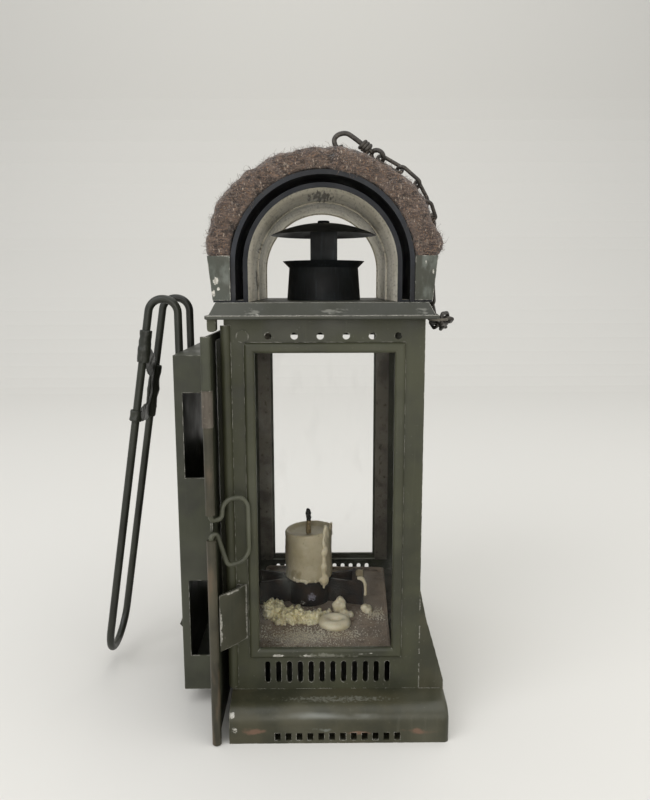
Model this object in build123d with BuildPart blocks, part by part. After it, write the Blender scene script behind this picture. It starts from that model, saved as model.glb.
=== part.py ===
"""Belt candle lantern: a glazed tin box with a felt-covered hood, a side door and a belt hook.

Units are millimetres. X runs along the windowed front, Y runs from the front to the back and Z is up.
The origin is the middle of the base, on the surface that the lantern stands on.
"""
from build123d import *
import os
from math import asin, atan2, cos, degrees, radians, sin, sqrt

os.makedirs("parts", exist_ok=True)

# Stock and fits
sheet = 0.8
wire_gap = 0.3
running_fit = 0.08
overrun = 5.0

# Body box
body_width = 80.0
body_depth = 108.0
panel_bottom = 16.0
body_top = 180.2
body_x = body_width / 2
body_y = body_depth / 2

# Windows
window_border = 12.0
window_sill = 19.0
window_head = 19.2
window_rim_width = 4.2
window_rim_rise = 1.6
window_rim_round = 1.3
window_width = body_width - 2 * window_border
window_bottom = panel_bottom + window_sill
window_top = body_top - window_head
window_height = window_top - window_bottom
window_z = (window_top + window_bottom) / 2

# Raised bead along one border of each glazed panel
border_bead_radius = 2.0
border_bead_inset = 0.6
border_bead_foot = 2.0
border_bead_head = 8.2
border_bead_bottom = panel_bottom + border_bead_foot
border_bead_top = body_top - border_bead_head

# Air slots under each window, and round holes above it
slot_count = 12
slot_pitch = 4.65
slot_width = 2.2
slot_length = 9.7
slot_rise = 7.95
slot_row_x = 0.8
hole_count = 6
hole_pitch = 10.35
hole_radius = 1.4
hole_drop = 12.5
hole_row_x = 3.4
boss_radius = 2.4
boss_rise = 0.5
boss_inset = 7.3
slot_z = panel_bottom + slot_rise
hole_z = body_top - hole_drop
boss_x = boss_inset - body_x

# Panes and the channels that keep them
pane_overlap = 3.0
pane_thickness = 1.6
keeper_width = 7.0
keeper_grip = 2.2
pane_width = window_width + 2 * pane_overlap

# Left frame with the door opening
door_jamb = 10.0
door_sill = 15.0
door_head = 15.2
seat_thickness = 1.0
door_opening_depth = body_depth - 2 * door_jamb
door_opening_bottom = panel_bottom + door_sill
door_opening_top = body_top - door_head

# Base skirt
apron_reach = 14.0
apron_shoulder = 1.5
apron_round = 6.5
flare_reach = 11.0
flare_rise = 45.0
flare_x_shares = (0.0, 0.255, 0.609, 0.955, 1.0)
flare_z_shares = (1.0, 0.779, 0.557, 0.328, 0.0)
apron_end_round = 2.0
base_hole_count = 12
base_hole_pitch = 4.5
base_hole_width = 2.4
base_hole_height = 3.3
base_hole_z = 3.0
base_hole_row_x = 4.75
base_right = body_x + flare_reach
flare_top = panel_bottom + flare_rise

# Lid
lid_side_overhang = 5.0
lid_front_overhang = 6.0
lid_x = -1.0
lid_height = 6.5
lid_slope = 27.0
hem_height = 1.5
hem_width = 2.4
hem_round = 0.6
lid_width = body_width + 2 * lid_side_overhang
lid_depth = body_depth + 2 * lid_front_overhang

# Chimney
flue_base_radius = 17.1
flue_neck_radius = 16.0
flue_rim_radius = 19.0
flue_neck_height = 14.6
flue_rim_height = 3.0
cap_room = 1.0
cap_lift = 11.8
cap_rise = 5.6
cap_strap_width = 12.0
cap_strap_foot = 5.0
rivet_head_radius = 2.75
rivet_head_height = 1.0
rivet_shank_radius = 1.2

# Hood
hood_x = -0.7
hood_set_back = 1.0
hood_inset = 4.3
arch_step = 4.9
arch_leg_height = 14.4
arch_rim_depth = 1.6
arch_rim_swell = 0.5
arch_bead_depth = 3.0
arch_bead_rise = 0.6
arch_foot_gap = 0.3
outer_foot_width = 7.5
hood_depth = body_depth - 2 * hood_set_back
outer_arch_radius = body_x - hood_inset
inner_arch_radius = outer_arch_radius - arch_step

# Felt pad and its clamps
felt_gap = 0.3
felt_side_thickness = 10.3
felt_top_thickness = 7.6
felt_round = 3.4
clamp_height = 17.2
clamp_width = 9.4
clamp_lean = 1.8
clamp_lap = 1.0
clamp_rivet_radius = 1.8
clamp_rivet_height = 1.0
clamp_rivet_y = 30.0
clamp_rivet_share = 0.5
felt_side_radius = outer_arch_radius + felt_side_thickness
felt_top_rise = outer_arch_radius + felt_top_thickness
clamp_depth = hood_depth + 2 * clamp_lap

# Tray, holder and candle
tray_side_room = 7.0
tray_end_room = 6.5
tray_x = -2.0
tray_y = -2.6
tray_rise = 12.2
tray_rim = 2.4
tray_rim_width = 1.2
tray_angle = -3.3
rail_width = 8.0
rail_end_room = 8.0
holder_x = -6.0
holder_y = 10.3
candle_radius = 11.9
candle_height = 24.6
candle_dish = 1.4
spigot_radius = 9.4
cup_wall = 0.8
cup_height = 12.6
cup_floor = 1.2
arm_angle = 17.0
arm_room = 1.3
arm_height = 12.0
arm_thickness = 1.4
right_arm_stretch = 3.0
tab_height = 6.4
tab_width = 5.6
wick_radius = 1.25
wick_height = 10.1
wick_root = 4.0
tray_width = body_width - 2 * tray_side_room
tray_depth = body_depth - 2 * tray_end_room
tray_z = panel_bottom + tray_rise
rail_length = body_depth - 2 * rail_end_room
candle_x = tray_x + holder_x
candle_y = tray_y + holder_y
cup_radius = spigot_radius + wire_gap + cup_wall

# Spilt wax: a doughnut-shaped lump and crumbled lumps
wax_ring_radius = 5.2
wax_ring_wire = 2.8
wax_ring_share = 0.2
wax_ring_depth_share = -0.41
wax_lump_shares = ((-0.68, -0.2), (-0.41, -0.27), (-0.15, -0.31), (0.27, -0.08), (0.4, -0.2), (0.69, -0.12))
wax_lump_radii = (7.6, 7.0, 5.8, 4.4, 5.6, 3.8)
wax_lump_heights = (7.2, 6.4, 4.4, 7.6, 3.0, 4.2)
wax_ring_x = tray_x + wax_ring_share * tray_width / 2
wax_ring_y = tray_y + wax_ring_depth_share * tray_depth / 2

# Door plate on the left, with its rolled front edge
door_stand_off = 5.1
door_reach = 14.0
door_bottom = 0.4
door_drop = 11.7
roll_radius = 1.9
sleeve_radius = 2.2
sleeve_drop = 20.5
sleeve_length = 14.2
edge_hem_width = 3.7
edge_hem_depth = 3.2
door_x = body_x + door_stand_off
door_front = body_y + door_reach
door_top = body_top - door_drop
sleeve_top = door_top - sleeve_drop
roll_top = sleeve_top - sleeve_length

# Door hinge at the back
hinge_out = 3.4
knuckle_radius = 2.2
hinge_pin_radius = 1.0
knuckle_count = 5
knuckle_foot = 4.0
knuckle_head = 4.5
knuckle_gap = 0.3
leaf_reach = 6.4
pin_overhang = 1.2
hinge_y = body_y + hinge_out
knuckle_bottom = panel_bottom + knuckle_foot
knuckle_top = door_top - knuckle_head

# Wire latch that swings on the door's edge
latch_wire_radius = 0.95
latch_z = 93.5
notch_rise = 5.2
notch_drop = 5.1
latch_pin_rise = 11.5
latch_pin_drop = 12.5
latch_reach_x = 13.7
latch_reach_y = 10.8
latch_bend_rise = (2.7, 2.7, 10.1, 10.1, -17.5, -17.5, -3.1, -3.1)
latch_bend_out = (0.0, 5.0, 5.6, 17.2, 17.4, 7.2, 2.6, 0.0)
latch_bend_radii = (2.0, 2.0, 4.5, 6.0, 5.5, 2.8, 1.4, 1.4)

# Lug on the front panel that the door closes against
stop_rise = 24.0
stop_height = 24.0
stop_foot_inset = 7.0
stop_foot_width = 4.0
stop_front_room = 2.0
stop_bend_angle = 45.0
stop_bottom = panel_bottom + stop_rise
stop_foot_x = stop_foot_inset - body_x
stop_reach_y = door_reach - stop_front_room
stop_slant = sheet / cos(radians(stop_bend_angle))

# Hollow box on the door, with belt slots
box_thickness = 18.1
box_set_in = 14.0
box_rise = 7.3
box_drop = 9.7
box_round = 0.7
box_flange = 6.0
slot_margin = 3.6
lower_slot_rise = 16.3
lower_slot_height = 35.5
upper_slot_drop = 15.8
upper_slot_height = 37.0
box_rivet_radius = 1.6
box_rivet_height = 0.9
box_rivet_margin = 14.0
box_rivet_rows = 3
box_right = door_x + sheet / 2
box_left = box_right + box_thickness
box_depth = body_depth - 2 * box_set_in
box_bottom = door_bottom + box_rise
box_top = door_top - box_drop
slot_left = box_left - slot_margin
lower_slot_bottom = box_bottom + lower_slot_rise
lower_slot_top = lower_slot_bottom + lower_slot_height
upper_slot_top = box_top - upper_slot_drop
upper_slot_bottom = upper_slot_top - upper_slot_height

# Belt hook
hook_wire_radius = 1.8
hook_half_gap = 14.5
hook_bar_rise = 20.3
hook_height = 153.8
hook_top_width = 12.3
hook_lean_angle = 9.1
hook_loop_drop = 172.9
hook_bar_round = 3.2
hook_top_round = 6.4
brace_wrap = 0.9
brace_plate = 1.2
brace_drop = 13.9
brace_length = 45.1
brace_front_length = 15.0
brace_back_head = 26.0
brace_tail_rise = 3.0
brace_tail_length = 5.0
hook_bar_z = box_bottom + hook_bar_rise
hook_top_z = hook_bar_z + hook_height
hook_low_z = hook_top_z - hook_loop_drop

# Pressed strap that holds the hook's bar
strap_width = 22.0
strap_head = 13.0
strap_tail = 12.0
strap_belly_drop = 3.5
strap_belly_out = 6.4
strap_foot = 3.0
strap_high_z = hook_bar_z + strap_head
strap_low_z = hook_bar_z - strap_tail
strap_belly_z = hook_bar_z - strap_belly_drop

# Chain of bent wire links
chain_wire_radius = 0.75
chain_half_width = 2.2
chain_gap = 0.4
chain_roll_step = 90.0
chain_twist_step = 9.0
chain_twist_links = 5
tab_plate_out = 1.0
tab_plate_set_in = 7.5
tab_plate_width = 7.4
tab_plate_depth = 9.0
tab_hole_radius = 1.9
tab_hole_out = 1.6
tab_hole_set_back = 0.9
chain_side_outs = (5.8, 6.6, 6.6, 6.0, 5.4, 4.8, 4.3)
chain_side_insets = (9.0, 17.3, 25.5, 33.9, 42.0, 47.0, 47.8)
chain_side_rises = (-6.8, -8.4, -10.4, -10.7, -8.4, -1.6, 6.9)
chain_over_angles = (0.8, 8.7, 14.3, 18.4, 24.8, 32.2, 41.6, 52.0, 62.4)
chain_over_outs = (3.1, 3.0, 3.1, 2.9, 3.2, 3.1, 3.6, 3.2, 2.8)
chain_over_insets = (44.8, 39.1, 31.8, 23.5, 16.7, 10.3, 6.4, 5.5, 5.3)
lower_run_links = 13

# Chain hook
chain_hook_wire_radius = 0.95
chain_hook_eye_radius = 2.5
chain_hook_eye_wire = 1.05
chain_hook_bend_angles = (78.7, 84.6, 83.9, 80.7)
chain_hook_bend_outs = (7.7, 5.7, 1.9, 2.8)
chain_hook_bend_radii = (2.4, 2.0, 0.9)
knot_radius = 2.3
knot_length = 4.4
knot_share = 0.29

# Lug under the lid's left end
lid_lug_width = 3.4
lid_lug_height = 4.8
lid_lug_depth = 5.0
lid_lug_inset = 1.8
lid_lug_set_in = 4.0

# Places worked out from the sizes above
lid_top = body_top + sheet
eave_z = lid_top - lid_height
apron_y = body_y + apron_reach
arch_centre_z = lid_top + arch_leg_height
hood_y = hood_depth / 2
clamp_bottom = lid_top + sheet
clamp_top = clamp_bottom + clamp_height
clamp_outer_x = outer_arch_radius + clamp_width
pane_height = window_height + 2 * pane_overlap
flue_neck_z = lid_top + flue_neck_height
flue_rim_z = flue_neck_z + flue_rim_height
cap_rim_z = flue_rim_z + cap_lift
cap_span = inner_arch_radius - sheet - arch_rim_swell - cap_room
cap_radius = sqrt(cap_span ** 2 - (cap_rim_z - arch_centre_z) ** 2)
tray_floor = tray_z + sheet
cup_bottom = tray_floor
cup_top = cup_bottom + cup_height
candle_bottom = cup_bottom + cup_floor
candle_seat = cup_top + wire_gap
candle_top = candle_seat + candle_height
lid_lug_x = lid_x - lid_width / 2 + lid_lug_inset
lid_lug_y = lid_lug_set_in - lid_depth / 2
tab_plate_x = lid_x + lid_width / 2 + tab_plate_out
tab_plate_y = tab_plate_set_in - lid_depth / 2
notch_top = latch_z + notch_rise
notch_bottom = latch_z - notch_drop
latch_pin_top = latch_z + latch_pin_rise
latch_pin_bottom = latch_z - latch_pin_drop


def glazed_panel_outline():
    """Draws one glazed panel's flat blank, with its window, slots and holes, in the active sketch."""
    with Locations((0, (panel_bottom + body_top) / 2)):
        Rectangle(body_width, body_top - panel_bottom)
    with Locations((0, window_z)):
        Rectangle(window_width, window_height, mode=Mode.SUBTRACT)
    with Locations((slot_row_x, slot_z)):
        with GridLocations(slot_pitch, 0, slot_count, 1):
            SlotOverall(slot_length, slot_width, rotation=90, mode=Mode.SUBTRACT)
    with Locations((hole_row_x, hole_z)):
        with GridLocations(hole_pitch, 0, hole_count, 1):
            Circle(hole_radius, mode=Mode.SUBTRACT)


# Front panel: flat blank, raised rim round the window, border bead and a pressed boss
front_face = Plane.XZ.offset(body_y)
with BuildPart() as front_panel:
    with BuildSketch(Plane.XZ.offset(body_y - sheet)):
        glazed_panel_outline()
    extrude(amount=sheet)
    with BuildSketch(front_face):
        with Locations((0, window_z)):
            Rectangle(window_width + 2 * window_rim_width, window_height + 2 * window_rim_width)
            Rectangle(window_width, window_height, mode=Mode.SUBTRACT)
    extrude(amount=window_rim_rise)
    fillet(front_panel.faces().sort_by(Axis.Y)[0].edges(), window_rim_round)
    with BuildSketch(Plane.XY.offset(border_bead_bottom)):
        with Locations((border_bead_inset - body_x, -body_y)):
            Circle(border_bead_radius)
            Rectangle(2 * border_bead_radius, border_bead_radius, align=(Align.CENTER, Align.MIN),
                      mode=Mode.SUBTRACT)
    extrude(amount=border_bead_top - border_bead_bottom)
    with BuildSketch(front_face):
        with Locations((boss_x, hole_z)):
            Circle(boss_radius)
    extrude(amount=boss_rise)
front_panel.part.label = "front_panel"
export_step(front_panel.part, "parts/front_panel.step")

# Back panel: the same pressing, turned half round
with BuildPart() as back_panel:
    add(front_panel.part.rotate(Axis.Z, 180))
back_panel.part.label = "back_panel"
export_step(back_panel.part, "parts/back_panel.step")

# Right wall, from the lid down to where the base flares out
with BuildPart() as right_wall:
    with BuildSketch(Plane.XY.offset(flare_top)):
        with Locations((body_x, 0)):
            Rectangle(sheet, body_depth - 2 * sheet, align=(Align.MAX, Align.CENTER))
    extrude(amount=body_top - flare_top)
right_wall.part.label = "right_wall"
export_step(right_wall.part, "parts/right_wall.step")

# Left frame: a wall with the door opening and a turned-out seat round it
opening_height = door_opening_top - door_opening_bottom
opening_z = (door_opening_top + door_opening_bottom) / 2
seat_reach = door_x - sheet / 2 - wire_gap - body_x
with BuildPart() as left_frame:
    with BuildSketch(Plane.YZ.offset(-body_x)):
        with Locations((0, (panel_bottom + body_top) / 2)):
            Rectangle(body_depth - 2 * sheet, body_top - panel_bottom)
        with Locations((0, opening_z)):
            Rectangle(door_opening_depth, opening_height, mode=Mode.SUBTRACT)
    extrude(amount=sheet)
    with BuildSketch(Plane.YZ.offset(-body_x)):
        with Locations((0, opening_z)):
            Rectangle(door_opening_depth + 2 * seat_thickness, opening_height + 2 * seat_thickness)
            Rectangle(door_opening_depth, opening_height, mode=Mode.SUBTRACT)
    extrude(amount=-seat_reach)
left_frame.part.label = "left_frame"
export_step(left_frame.part, "parts/left_frame.step")


# Base skirt: rolled aprons at front and back, and a wall that flares out on the right
flare_points = [(body_x + share_x * (base_right - body_x), share_z * flare_top)
                for share_x, share_z in zip(flare_x_shares, flare_z_shares)]
flare_inner = [(x - sheet, z) for x, z in flare_points]
base_length = base_right + body_x
shoulder_z = panel_bottom - apron_shoulder
with BuildPart() as base_skirt:
    with BuildSketch(Plane.YZ.offset(-body_x)):
        with BuildLine():
            FilletPolyline(
                (-apron_y, 0), (-apron_y, shoulder_z), (-body_y, panel_bottom),
                (body_y, panel_bottom), (apron_y, shoulder_z), (apron_y, 0),
                radius=(0, apron_round, 0, 0, apron_round, 0), close=True)
        make_face()
    extrude(amount=base_length)
    apron_end = base_skirt.faces().sort_by(Axis.X)[-1]
    fillet([edge for edge in apron_end.edges() if abs(edge.center().Y) > body_y and edge.center().Z > 0],
           apron_end_round)
    with BuildSketch(Plane.XZ.offset(-body_y)):
        with BuildLine():
            Polyline(*flare_points, (body_x, 0), close=True)
        make_face()
    extrude(amount=body_depth)
    with BuildSketch(Plane.XZ.offset(sheet - body_y)):
        with BuildLine():
            Polyline((body_x - sheet, flare_top), (body_x, flare_top), (body_x, 0), (body_x - sheet, 0),
                     close=True)
        make_face()
    extrude(amount=body_depth - 2 * sheet)
    with BuildSketch(Plane.YZ.offset(sheet - body_x)):
        with BuildLine():
            FilletPolyline(
                (sheet - apron_y, -overrun), (sheet - apron_y, shoulder_z - sheet),
                (sheet - body_y, panel_bottom - sheet), (body_y - sheet, panel_bottom - sheet),
                (apron_y - sheet, shoulder_z - sheet), (apron_y - sheet, -overrun),
                radius=(0, apron_round - sheet, 0, 0, apron_round - sheet, 0), close=True)
        make_face()
    extrude(amount=base_length - 2 * sheet, mode=Mode.SUBTRACT)
    with BuildSketch(Plane.XZ.offset(sheet - body_y)):
        with BuildLine():
            Polyline((sheet - body_x, flare_top + overrun), (body_x - sheet, flare_top + overrun),
                     *flare_inner, (base_right - sheet, -overrun), (sheet - body_x, -overrun), close=True)
        make_face()
    extrude(amount=body_depth - 2 * sheet, mode=Mode.SUBTRACT)
    with BuildSketch(Plane.XZ.offset(apron_y + overrun)):
        with Locations((base_hole_row_x, base_hole_z)):
            with GridLocations(base_hole_pitch, 0, base_hole_count, 1):
                Rectangle(base_hole_width, base_hole_height)
    extrude(amount=-2 * (apron_y + overrun), mode=Mode.SUBTRACT)
base_skirt.part.label = "base_skirt"
export_step(base_skirt.part, "parts/base_skirt.step")

# Base floor, level with the skirt's lower edge
with BuildPart() as base_floor:
    with BuildSketch(Plane.XY):
        with Locations((sheet - body_x, 0)):
            Rectangle(base_length - 2 * sheet, 2 * (apron_y - sheet), align=(Align.MIN, Align.CENTER))
    extrude(amount=sheet)
base_floor.part.label = "base_floor"
export_step(base_floor.part, "parts/base_floor.step")

# Lid: a flat top with a sloping eave, a hem round its edge and the flue's hole
with BuildPart() as lid:
    with BuildSketch(Plane.XY.offset(eave_z)):
        with Locations((lid_x, 0)):
            Rectangle(lid_width, lid_depth)
    extrude(amount=lid_height, taper=lid_slope)
    with BuildSketch(Plane.XY.offset(eave_z)):
        with Locations((lid_x, 0)):
            Rectangle(lid_width - 2 * sheet, lid_depth - 2 * sheet)
    extrude(amount=lid_height - sheet, taper=lid_slope, mode=Mode.SUBTRACT)
    with BuildSketch(Plane.XY.offset(eave_z)):
        with Locations((lid_x, 0)):
            RectangleRounded(lid_width + hem_width / 2, lid_depth + hem_width / 2, hem_width / 2)
            Rectangle(lid_width - hem_width, lid_depth - hem_width, mode=Mode.SUBTRACT)
    extrude(amount=hem_height)
    fillet(lid.edges().filter_by(Plane.XY).filter_by(
        lambda edge: abs(edge.center().Z - eave_z) < sheet / 2
        and edge.bounding_box().size.X + edge.bounding_box().size.Y > lid_width), hem_round)
    with BuildSketch(Plane.XY.offset(body_top)):
        Circle(flue_base_radius - sheet)
    extrude(amount=overrun, mode=Mode.SUBTRACT)
lid.part.label = "lid"
export_step(lid.part, "parts/lid.step")

# Roof plate that closes the body under the lid
with BuildPart() as roof_plate:
    with BuildSketch(Plane.XY.offset(body_top - sheet)):
        Rectangle(body_width - 2 * sheet, body_depth - 2 * sheet)
        Circle(flue_base_radius - sheet, mode=Mode.SUBTRACT)
    extrude(amount=sheet)
roof_plate.part.label = "roof_plate"
export_step(roof_plate.part, "parts/roof_plate.step")

# Window panes, one a side, and the pairs of channels that keep them
pane_y = body_y - sheet
for pane_name, side in (("front_glass", -1), ("back_glass", 1)):
    with BuildPart() as pane:
        with BuildSketch(Plane.XZ.offset(-side * (pane_y - pane_thickness / 2) - pane_thickness / 2)):
            with Locations((0, window_z)):
                Rectangle(pane_width, pane_height)
        extrude(amount=pane_thickness)
    pane.part.label = pane_name
    export_step(pane.part, "parts/" + pane_name + ".step")

keeper_x = pane_width / 2 + wire_gap
with BuildPart() as glass_keepers:
    for side_x in (-1, 1):
        for side_y in (-1, 1):
            with BuildSketch(Plane.XY.offset(window_z - pane_height / 2)):
                with Locations((side_x * keeper_x, side_y * pane_y)):
                    Rectangle(
                        sheet, pane_thickness + sheet,
                        align=(Align.MIN if side_x > 0 else Align.MAX, Align.MAX if side_y > 0 else Align.MIN))
                with Locations((side_x * (keeper_x - keeper_grip), side_y * (pane_y - pane_thickness))):
                    Rectangle(
                        keeper_width, sheet,
                        align=(Align.MIN if side_x > 0 else Align.MAX, Align.MAX if side_y > 0 else Align.MIN))
            extrude(amount=pane_height)
glass_keepers.part.label = "glass_keepers"
export_step(glass_keepers.part, "parts/glass_keepers.step")

# Tray rails on the two side walls
with BuildPart() as tray_rails:
    for side in (-1, 1):
        with BuildSketch(Plane.XY.offset(tray_z - sheet)):
            with Locations((side * (body_x - sheet), 0)):
                Rectangle(rail_width, rail_length, align=(Align.MIN if side < 0 else Align.MAX, Align.CENTER))
        extrude(amount=sheet)
        with BuildSketch(Plane.XY.offset(tray_z - rail_width)):
            with Locations((side * (body_x - sheet), 0)):
                Rectangle(sheet, rail_length, align=(Align.MIN if side < 0 else Align.MAX, Align.CENTER))
        extrude(amount=rail_width - sheet)
tray_rails.part.label = "tray_rails"
export_step(tray_rails.part, "parts/tray_rails.step")

# Loose tray with a turned-up rim, lying a little askew on the rails
with BuildPart() as tray:
    with BuildSketch(Plane.XY.offset(tray_z)):
        with Locations(Location((tray_x, tray_y, 0), (0, 0, tray_angle))):
            RectangleRounded(tray_width, tray_depth, tray_rim)
    extrude(amount=tray_rim)
    with BuildSketch(Plane.XY.offset(tray_z + sheet)):
        with Locations(Location((tray_x, tray_y, 0), (0, 0, tray_angle))):
            RectangleRounded(tray_width - 2 * tray_rim_width, tray_depth - 2 * tray_rim_width, tray_rim_width)
    extrude(amount=tray_rim, mode=Mode.SUBTRACT)
tray.part.label = "tray"
export_step(tray.part, "parts/tray.step")

# Candle holder: a cup on two crossed flat strips that stand on edge, one end turned up as a tab
tray_left = tray_x - tray_width / 2 + tray_rim_width
left_reach = (candle_x - tray_left - arm_room) / cos(radians(arm_angle))
right_reach = left_reach + right_arm_stretch
with BuildPart() as candle_holder:
    for turn in (-arm_angle, arm_angle):
        with BuildSketch(Plane.XY.offset(cup_bottom)):
            with Locations(Location((candle_x, candle_y, 0), (0, 0, turn))):
                with Locations((-left_reach, 0)):
                    Rectangle(left_reach + right_reach, arm_thickness, align=(Align.MIN, Align.CENTER))
        extrude(amount=arm_height)
    with BuildSketch(Plane.XY.offset(cup_bottom)):
        with Locations((candle_x, candle_y)):
            Circle(cup_radius)
    extrude(amount=cup_height)
    with BuildSketch(Plane.XY.offset(cup_bottom + cup_floor)):
        with Locations((candle_x, candle_y)):
            Circle(cup_radius - cup_wall)
    extrude(amount=cup_height, mode=Mode.SUBTRACT)
    with BuildSketch(Plane.XY.offset(cup_bottom + arm_height)):
        with Locations(Location((candle_x, candle_y, 0), (0, 0, -arm_angle))):
            with Locations((right_reach - tab_width / 2, 0)):
                Rectangle(tab_width, arm_thickness)
    extrude(amount=tab_height)
candle_holder.part.label = "candle_holder"
export_step(candle_holder.part, "parts/candle_holder.step")

# Candle stub with a dished top, its foot pared down to fit the cup, and its wick
with BuildPart() as candle:
    with BuildSketch(Plane.XZ.offset(-candle_y)):
        with BuildLine():
            Polyline(
                (candle_x, candle_bottom),
                (candle_x + spigot_radius, candle_bottom),
                (candle_x + spigot_radius, candle_seat),
                (candle_x + candle_radius, candle_seat),
                (candle_x + candle_radius, candle_top),
                (candle_x + candle_radius - candle_dish, candle_top),
                (candle_x + wick_radius + candle_dish, candle_top - candle_dish),
                (candle_x, candle_top - candle_dish),
                close=True)
        make_face()
    revolve(axis=Axis((candle_x, candle_y, 0), (0, 0, 1)))
    with BuildSketch(Plane.XY.offset(candle_top - candle_dish - wick_root)):
        with Locations((candle_x, candle_y)):
            Circle(wick_radius)
    extrude(amount=wick_root + candle_dish, mode=Mode.SUBTRACT)
candle.part.label = "candle"
export_step(candle.part, "parts/candle.step")

with BuildPart() as wick:
    with BuildSketch(Plane.XY.offset(candle_top - candle_dish - wick_root)):
        with Locations((candle_x, candle_y)):
            Circle(wick_radius)
    extrude(amount=wick_root + candle_dish + wick_height)
    fillet(wick.edges().sort_by(Axis.Z)[-1], wick_radius / 2)
wick.part.label = "wick"
export_step(wick.part, "parts/wick.step")

# Spilt wax on the tray: lumps cut flat where they lie
with BuildPart() as wax_spill:
    with BuildSketch(Plane.XZ.offset(-wax_ring_y)):
        with Locations((wax_ring_x + wax_ring_radius, tray_floor)):
            Circle(wax_ring_wire)
            Rectangle(2 * wax_ring_wire, wax_ring_wire, align=(Align.CENTER, Align.MAX), mode=Mode.SUBTRACT)
        with Locations((wax_ring_x, tray_floor)):
            Rectangle(wax_ring_radius, wax_ring_wire / 2, align=(Align.MIN, Align.MIN))
    revolve(axis=Axis((wax_ring_x, wax_ring_y, 0), (0, 0, 1)))
    for (share_x, share_y), lump_radius, lump_height in zip(wax_lump_shares, wax_lump_radii, wax_lump_heights):
        lump_x = tray_x + share_x * tray_width / 2
        lump_y = tray_y + share_y * tray_depth / 2
        lump_ball = (lump_radius ** 2 + lump_height ** 2) / (2 * lump_height)
        with BuildSketch(Plane.XZ.offset(-lump_y)):
            with BuildLine():
                RadiusArc((lump_x, tray_floor + lump_height), (lump_x + lump_radius, tray_floor), lump_ball)
                Polyline((lump_x + lump_radius, tray_floor), (lump_x, tray_floor),
                         (lump_x, tray_floor + lump_height))
            make_face()
        revolve(axis=Axis((lump_x, lump_y, 0), (0, 0, 1)))
    add(candle_holder.part, mode=Mode.SUBTRACT)
wax_spill.part.label = "wax_spill"
export_step(wax_spill.part, "parts/wax_spill.step")

# Flue neck with its flared rim
with BuildPart() as flue_neck:
    with BuildSketch(Plane.XZ):
        with BuildLine():
            Polyline(
                (flue_base_radius, lid_top),
                (flue_neck_radius, flue_neck_z),
                (flue_rim_radius, flue_rim_z),
                (flue_rim_radius - sheet, flue_rim_z),
                (flue_neck_radius - sheet, flue_neck_z),
                (flue_base_radius - sheet, lid_top),
                close=True)
        make_face()
    revolve(axis=Axis.Z)
flue_neck.part.label = "flue_neck"
export_step(flue_neck.part, "parts/flue_neck.step")

# Chimney cap: a shallow dome of sheet
cap_top_z = cap_rim_z + cap_rise
cap_ball = (cap_radius ** 2 + cap_rise ** 2) / (2 * cap_rise)
cap_inner_rim = sqrt((cap_ball - sheet) ** 2 - (cap_ball - cap_rise) ** 2)
with BuildPart() as chimney_cap:
    with BuildSketch(Plane.XZ):
        with BuildLine():
            RadiusArc((0, cap_top_z), (cap_radius, cap_rim_z), cap_ball)
            Line((cap_radius, cap_rim_z), (cap_inner_rim, cap_rim_z))
            RadiusArc((cap_inner_rim, cap_rim_z), (0, cap_top_z - sheet), sheet - cap_ball)
            Line((0, cap_top_z - sheet), (0, cap_top_z))
        make_face()
    revolve(axis=Axis.Z)
    with BuildSketch(Plane.XY.offset(cap_rim_z)):
        Circle(rivet_shank_radius + running_fit)
    extrude(amount=cap_rise + overrun, mode=Mode.SUBTRACT)
chimney_cap.part.label = "chimney_cap"
export_step(chimney_cap.part, "parts/chimney_cap.step")

# Bent strap that carries the cap on the neck's inner wall
strap_leg_y = sqrt((flue_neck_radius - sheet) ** 2 - (cap_strap_width / 2) ** 2) - running_fit
strap_corner = sqrt(strap_leg_y ** 2 + (cap_strap_width / 2) ** 2)
strap_top_z = cap_top_z - cap_ball + sqrt((cap_ball - sheet) ** 2 - strap_corner ** 2) - running_fit
with BuildPart() as cap_strap:
    with BuildSketch(Plane.YZ.offset(-cap_strap_width / 2)):
        with Locations((0, strap_top_z)):
            Rectangle(2 * strap_leg_y, strap_top_z - lid_top - cap_strap_foot, align=(Align.CENTER, Align.MAX))
            Rectangle(2 * (strap_leg_y - sheet), strap_top_z - lid_top, align=(Align.CENTER, Align.MAX),
                      mode=Mode.SUBTRACT)
        with Locations((0, strap_top_z)):
            Rectangle(2 * strap_leg_y, sheet, align=(Align.CENTER, Align.MAX))
    extrude(amount=cap_strap_width)
    with BuildSketch(Plane.XY.offset(strap_top_z - overrun)):
        Circle(rivet_shank_radius + running_fit)
    extrude(amount=2 * overrun, mode=Mode.SUBTRACT)
cap_strap.part.label = "cap_strap"
export_step(cap_strap.part, "parts/cap_strap.step")

# Rivet through the cap and its strap
with BuildPart() as cap_rivet:
    with BuildSketch(Plane.XY.offset(strap_top_z - sheet)):
        Circle(rivet_shank_radius)
    extrude(amount=cap_top_z - strap_top_z + sheet)
    with BuildSketch(Plane.XY.offset(cap_top_z)):
        Circle(rivet_head_radius)
    extrude(amount=rivet_head_height)
    with BuildSketch(Plane.XY.offset(strap_top_z - sheet)):
        Circle(rivet_head_radius)
    extrude(amount=-rivet_head_height)
    fillet(cap_rivet.edges().sort_by(Axis.Z)[-1], rivet_head_height / 2)
cap_rivet.part.label = "cap_rivet"
export_step(cap_rivet.part, "parts/cap_rivet.step")


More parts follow.
